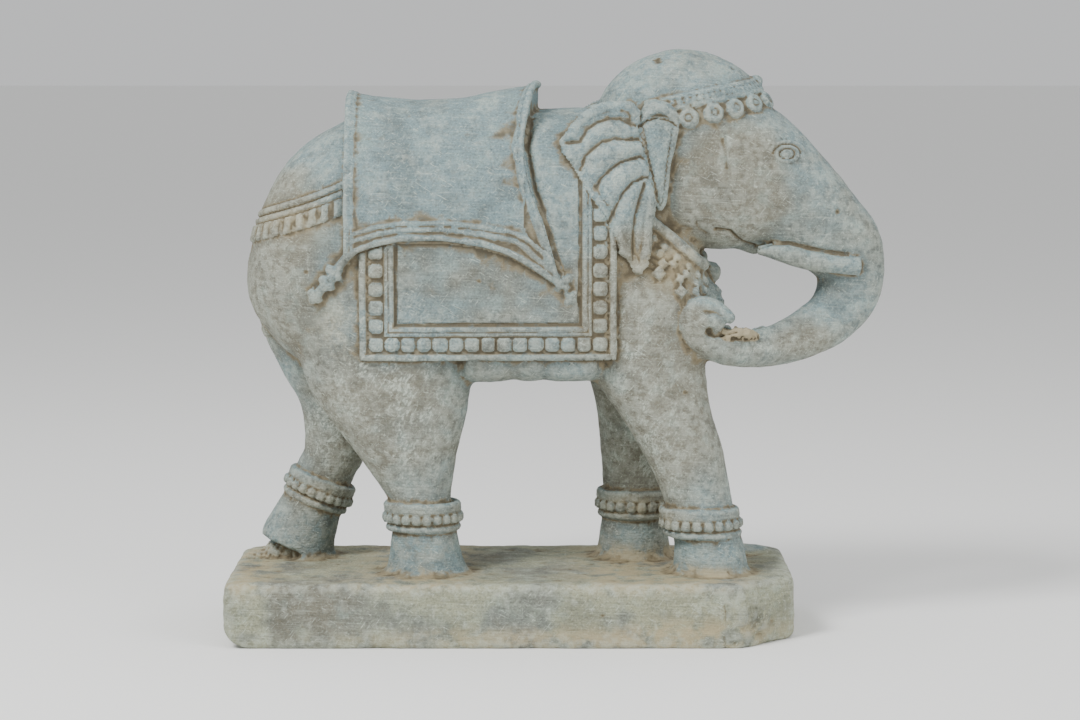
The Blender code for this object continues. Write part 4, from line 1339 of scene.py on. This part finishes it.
def zone(places):
    """Soft ellipses in the side view, in carving units: x, z, half width, half height, strength."""
    total = np.zeros(len(units))
    for x, z, wide, tall, strength in places:
        reach = np.hypot((units[:, 0] - x) / wide, (units[:, 2] - z) / tall)
        total += strength * np.exp(-(reach**2))
    return total


unfit = np.linalg.inv(np.array(fit))
units = points @ unfit[:3, :3].T + unfit[:3, 3]
sky = rise_between(normals[:, 2], 0.1, 0.95)
blue = zone((
    (-80, 420, 115, 65, 0.85),
    (150, 510, 80, 45, 1.0),
    (300, 290, 30, 50, 0.2),
    (240, 400, 40, 40, 0.2),
    (55, 400, 40, 60, 0.4),
    (-150, 230, 50, 50, 0.25),
    (-40, -35, 120, 30, 0.2),
    (-112, 15, 34, 24, 0.3),
    (168, 15, 34, 24, 0.25),
    (90, 20, 34, 24, 0.15),
))
brown = zone((
    (-155, 160, 70, 60, 0.45),
    (190, 390, 60, 50, 0.55),
    (110, 150, 55, 70, 0.5),
    (80, 280, 40, 60, 0.5),
    (-260, 330, 40, 80, 0.55),
    (250, 230, 60, 20, 0.3),
))
lime = zone((
    (30, -54, 260, 14, 0.7),
    (150, -48, 60, 20, 0.6),
    (-60, 0, 160, 10, 0.12),
    (-112, 2, 48, 8, 0.8),
    (90, 4, 60, 14, 0.9),
    (168, 2, 50, 8, 0.8),
    (-190, 0, 70, 12, 0.3),
    (-290, 0, 30, 14, 0.8),
    (90, 54, 40, 14, 0.6),
    (-112, 55, 44, 14, 0.35),
    (160, 49, 44, 14, 0.35),
    (-228, 66, 44, 18, 0.45),
    (160, 455, 60, 16, 0.4),
    (-200, 250, 30, 50, 0.4),
    (-240, 350, 50, 20, 0.5),
    (128, 310, 40, 34, 0.7),
))
# darker patches on the legs, anklets and feet, a stain on the plinth's front, and painted shade where
# marked
dark = zone((
    (150, 62, 34, 20, 0.35),
    (-112, 60, 40, 16, 0.35),
    (-120, 26, 34, 18, 0.75),
    (172, 30, 26, 12, 0.45),
    (60, 26, 24, 18, 0.6),
    # painted shade on the raised foot and in the gap under its heel
    (-235, 30, 36, 22, 0.7),
    (-215, 90, 40, 40, 0.35),
    (66, 30, 22, 26, 0.3),
    (-130, 130, 60, 50, 0.25),
    (208, -42, 26, 20, 0.75),
    # painted shade along the underside of the trunk
    (240, 215, 60, 10, 0.4),
    # painted shade on the top of the head
    (150, 525, 80, 45, 0.5),
))
slab = 1 - rise_between(units[:, 2], 0.5, 4)
washed = WASHED_ALL + blue * (1 - SLAB_DRIER * slab) + WASHED_ABOVE * sky * (1 - slab)
washed = washed - brown - SLAB_BROWNER * slab
scuffed = zone((
    (-160, 235, 55, 60, 1.0),
    (-120, 150, 50, 70, 0.7),
    (-230, 380, 60, 60, 0.3),
    (-215, 130, 40, 50, 0.8),
    (120, 130, 50, 80, 0.5),
    (85, 240, 40, 60, 0.6),
    (220, 225, 60, 30, 0.6),
    (90, 120, 40, 60, 0.5),
    (65, 400, 50, 60, 0.6),
))
give(carving, "blue", washed)
give(carving, "lime", lime)
give(carving, "dark", dark)
give(carving, "scuffed", scuffed)
give(carving, "slab", slab)
give(carving, "mortar", porous(units)[0] * np.where(units[:, 0] > 0, 1.0, HEEL_MORTAR))
print("blue on average %.2f" % float(np.mean(np.clip(washed, 0, 1))))

# %% The piece
elephant = placed("carved_elephant", carving)
carving.name = "carved_elephant"
for face in carving.polygons:
    face.use_smooth = True
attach(elephant, "root")
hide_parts("elephant_carving")
print("box:", [round(value, 4) for value in elephant.dimensions])

# %% [markdown]
# Weathered grey-green stone
#
# The stone looks like a fine soft one: blue-grey where rain has washed it, taupe where it is dry
# and rubbed, with tan dust in its hollows and lime low down. It was cut with flat chisels, so fine
# streaks run along each face, and short pale scratches cross them. It is quite matt, with no clear
# coat. Painted shade darkens its grooves, the mortar's holes, the top of the head, the underside of
# the trunk and the gap under the raised heel. Noise of several real sizes is laid over one base
# colour, a table row for each layer.

# %% Colours and node helper
TAUPE = "#777567"
BLUE_GREY = "#72878A"
MOSS = "#9A9B80"
PALE_GREEN = "#98ABA3"
# dark grey for mottling and dark patches, and painted shade in the dark zones
SHADE = "#4B4B45"
# dark brown, painted shade in the grooves and in the mortar's holes
DEEP = "#3D362A"
SCRATCH = "#C2C9BC"
OCHRE = "#80745A"
LIME = "#A89A78"
MORTAR_CREAM = "#A4977A"

SPECULAR = 0.3
BUMP_HEIGHT = 0.0016  # metres from the bottom of a pit to the top of a grain
# Real grit is finer than the grain's 2 mm, which is as coarse as it has to be drawn to show.
PATTERNS = (  # name, size of its bumps in mm, detail, stretch along X, Y and Z, turn about Y
    ("hand", 80, 3, (1, 1, 1), 0),
    ("patch", 42, 4, (1, 1, 1), 0),
    ("finger", 20, 4, (1, 1, 1), 0),
    ("blotch", 7, 5, (1, 1, 1), 0),
    ("grain", 2.0, 3, (1, 1, 1), 0),
    ("scuff", 2.4, 5, (1, 1, 2.0), 30),
    ("streak", 1.8, 4, (16, 4, 1), 2),
    ("sawn", 5.0, 4, (18, 4, 1), 0),
    ("drip", 3.0, 4, (1, 1.5, 8), 0),
    ("scratch", 1.3, 2, (1, 2, 9), 38),
    ("counter_scratch", 1.4, 2, (1, 2, 10), -62),
)
BUMPS = (("grain", 0.8), ("blotch", 1.5), ("scratch", 0.4))  # added to the streaks, with weights
ATTRIBUTES = ("blue", "lime", "dark", "scuffed", "slab", "hollow", "groove", "high", "mortar")
LAYERS = (  # colour, share, and the fields that it needs, each with the values it sets in between
    (BLUE_GREY, 1.0, ("washed", 0.50, 0.95)),
    (MOSS, 0.9, ("slab", 0.0, 1.0), ("hand", 0.38, 0.56)),
    (PALE_GREEN, 0.32, ("finger", 0.50, 0.70)),
    (SHADE, 0.30, ("finger", 0.48, 0.30)),
    # dark patches, and painted shade on the top of the head, under the trunk and under the raised heel
    (SHADE, 0.9, ("dark", 0.0, 1.0), ("blotch", 0.36, 0.60)),
    (SHADE, 0.18, ("blotch", 0.54, 0.72)),
    (SHADE, 0.30, ("patch", 0.50, 0.64)),
    (SHADE, 0.26, ("streak", 0.53, 0.70)),
    (SCRATCH, 0.26, ("streak", 0.45, 0.28)),
    (SHADE, 0.20, ("slab", 0.0, 1.0), ("sawn", 0.48, 0.62)),
    (SCRATCH, 0.25, ("drip", 0.62, 0.74)),
    (SHADE, 0.40, ("grain", 0.50, 0.66)),
    (SCRATCH, 0.30, ("grain", 0.44, 0.30)),
    (SCRATCH, 0.60, ("scuffed", 0.1, 0.9), ("scuff", 0.52, 0.40), ("finger", 0.44, 0.58)),
    (SCRATCH, 0.50, ("scratch", 0.64, 0.72)),
    (SCRATCH, 0.50, ("counter_scratch", 0.64, 0.72)),
    (LIME, 0.75, ("lime", 0.0, 0.9), ("finger", 0.38, 0.58)),
    (OCHRE, 0.80, ("hollow", 0.15, 0.75), ("blotch", 0.25, 0.50)),
    # painted shade in the sharpest grooves
    (DEEP, 0.62, ("groove", 0.38, 1.0)),
    (SCRATCH, 0.32, ("high", 0.0, 1.0), ("blotch", 0.35, 0.60)),
    (MORTAR_CREAM, 0.85, ("mortar", 0.0, 1.0)),
    # painted shade in the holes and hollows of the mortar
    (DEEP, 0.80, ("mortar", 0.0, 1.0), ("hollow", 0.30, 0.90)),
)
COLOUR_MIX = {"data_type": "RGBA", "clamp_factor": True}


def linear(code):
    """A linear colour from an sRGB hex code."""
    channels = [int(code[i:i + 2], 16) / 255 for i in (1, 3, 5)]
    bent = [c / 12.92 if c <= 0.04045 else ((c + 0.055) / 1.055) ** 2.4 for c in channels]
    return (*bent, 1.0)


def node(tree, kind, settings=(), links=()):
    """A node with its settings, by socket or property name, and its links."""
    made = tree.nodes.new(kind)
    for name, value in dict(settings).items():
        if isinstance(name, int) or name in made.inputs:
            made.inputs[name].default_value = value
        else:
            setattr(made, name, value)
    for name, source in dict(links).items():
        tree.links.new(source, made.inputs[name])
    return made

# %% Stone
def fields_of(tree):
    """Every pattern and attribute that a layer can ask for, as sockets by name."""
    coords = node(tree, "ShaderNodeTexCoord").outputs["Object"]
    fields = {}
    for name, size, detail, stretch, turn in PATTERNS:
        scale = [size / 1000 * longer for longer in stretch]
        placing = {"vector_type": "TEXTURE", "Rotation": (0, math.radians(turn), 0), "Scale": scale}
        placed_at = node(tree, "ShaderNodeMapping", placing, {"Vector": coords}).outputs["Vector"]
        noise = {"Scale": 1.0, "Detail": detail, "Roughness": 0.6}
        fields[name] = node(tree, "ShaderNodeTexNoise", noise, {"Vector": placed_at}).outputs["Fac"]
    for name in ATTRIBUTES:
        fields[name] = node(tree, "ShaderNodeAttribute", {"attribute_name": name}).outputs["Fac"]
    both = {0: fields["blue"], 1: fields["hand"]}
    fields["washed"] = node(tree, "ShaderNodeMath", {"operation": "ADD"}, both).outputs[0]
    return fields


def layered(tree, fields):
    """The base colour with each layer of the table laid over it."""
    colour = None
    for code, share, *needs in LAYERS:
        factor = None
        for field, low, high in needs:
            step = {"interpolation_type": "SMOOTHSTEP", "From Min": low, "From Max": high}
            step["To Max"] = share if factor is None else 1.0
            part = node(tree, "ShaderNodeMapRange", step, {"Value": fields[field]}).outputs["Result"]
            if factor is not None:
                both = {0: factor, 1: part}
                part = node(tree, "ShaderNodeMath", {"operation": "MULTIPLY"}, both).outputs[0]
            factor = part
        colours = {**COLOUR_MIX, 6: linear(TAUPE), 7: linear(code)}
        mix = node(tree, "ShaderNodeMix", colours, {0: factor})
        if colour:
            tree.links.new(colour, mix.inputs[6])
        colour = mix.outputs[2]
    return colour


def weathered_stone():
    """A matt stone: it shows form by light, shade and painted shade, and its streaks and pits catch it.
    """
    material = bpy.data.materials.new("weathered_chiselled_stone")
    material.use_nodes = True
    tree = material.node_tree
    shader = tree.nodes["Principled BSDF"]
    fields = fields_of(tree)
    tree.links.new(layered(tree, fields), shader.inputs["Base Color"])
    rough = {"To Min": 0.75, "To Max": 0.95}
    matt = node(tree, "ShaderNodeMapRange", rough, {"Value": fields["blotch"]})
    tree.links.new(matt.outputs["Result"], shader.inputs["Roughness"])
    height = fields["streak"]
    for field, weight in BUMPS:
        add = {"operation": "MULTIPLY_ADD", 1: weight}
        height = node(tree, "ShaderNodeMath", add, {0: fields[field], 2: height}).outputs[0]
    depth = {"Strength": 0.85, "Distance": BUMP_HEIGHT}
    bump = node(tree, "ShaderNodeBump", depth, {"Height": height})
    tree.links.new(bump.outputs["Normal"], shader.inputs["Normal"])
    shader.inputs["Specular IOR Level"].default_value = SPECULAR
    return material


elephant.data.materials.append(weathered_stone())
print("materials:", [slot.name for slot in elephant.data.materials])

# %% [markdown]
# Floor, light and camera
#
# A pale floor and large soft lights show form without hard shadows. The camera stands three
# metres off the middle of the block, six degrees above it, with a 100 mm lens, as in the photograph.

# %% Floor
floor_form = bmesh.new()
bmesh.ops.create_grid(floor_form, x_segments=1, y_segments=1, size=40.0)
floor_mesh = bpy.data.meshes.new("floor")
floor_form.to_mesh(floor_mesh)
floor_form.free()
floor = placed("floor", floor_mesh)
pale = bpy.data.materials.new("pale_matt_paper")
pale.use_nodes = True
pale.node_tree.nodes["Principled BSDF"].inputs["Base Color"].default_value = linear("#F2F2F0")
pale.node_tree.nodes["Principled BSDF"].inputs["Roughness"].default_value = 0.9
floor_mesh.materials.append(pale)
print("floor made")

# %% Lights
LIGHT_TARGET = Vector((0, 0, 0.28))


def soft_light(name, place, size, watts):
    """A square area light that looks at the middle of the figure."""
    light = bpy.data.lights.new(name, "AREA")
    light.size = size
    light.energy = watts
    lamp = bpy.data.objects.new(name, light)
    bpy.context.scene.collection.objects.link(lamp)
    lamp.location = place
    lamp.rotation_euler = (LIGHT_TARGET - Vector(place)).to_track_quat("-Z", "Y").to_euler()
    return lamp


soft_light("key", (-1.5, -1.7, 2.5), 0.9, 106)
soft_light("fill", (2.3, -2.0, 1.2), 1.8, 44)
soft_light("top", (0.3, 0.2, 2.8), 1.8, 14)
world = bpy.data.worlds.new("studio")
world.use_nodes = True
world.node_tree.nodes["Background"].inputs["Color"].default_value = linear("#F4F5F6")
world.node_tree.nodes["Background"].inputs["Strength"].default_value = 0.75
bpy.context.scene.world = world
print("lights made")

# %% Camera
VIEW_DISTANCE = 3.0
VIEW_PITCH = math.radians(6)
VIEW_CENTRE = Vector((-0.0172, 0.0038, 0.2685))
lens = bpy.data.cameras.new("camera")
lens.lens = 100
lens.sensor_width = 36
camera = bpy.data.objects.new("camera", lens)
bpy.context.scene.collection.objects.link(camera)
back_off = Vector((0, -math.cos(VIEW_PITCH), math.sin(VIEW_PITCH))) * VIEW_DISTANCE
camera.location = VIEW_CENTRE + back_off
camera.rotation_euler = (math.radians(90) - VIEW_PITCH, 0, 0)
bpy.context.scene.camera = camera
print("camera at", [round(value, 3) for value in camera.location])
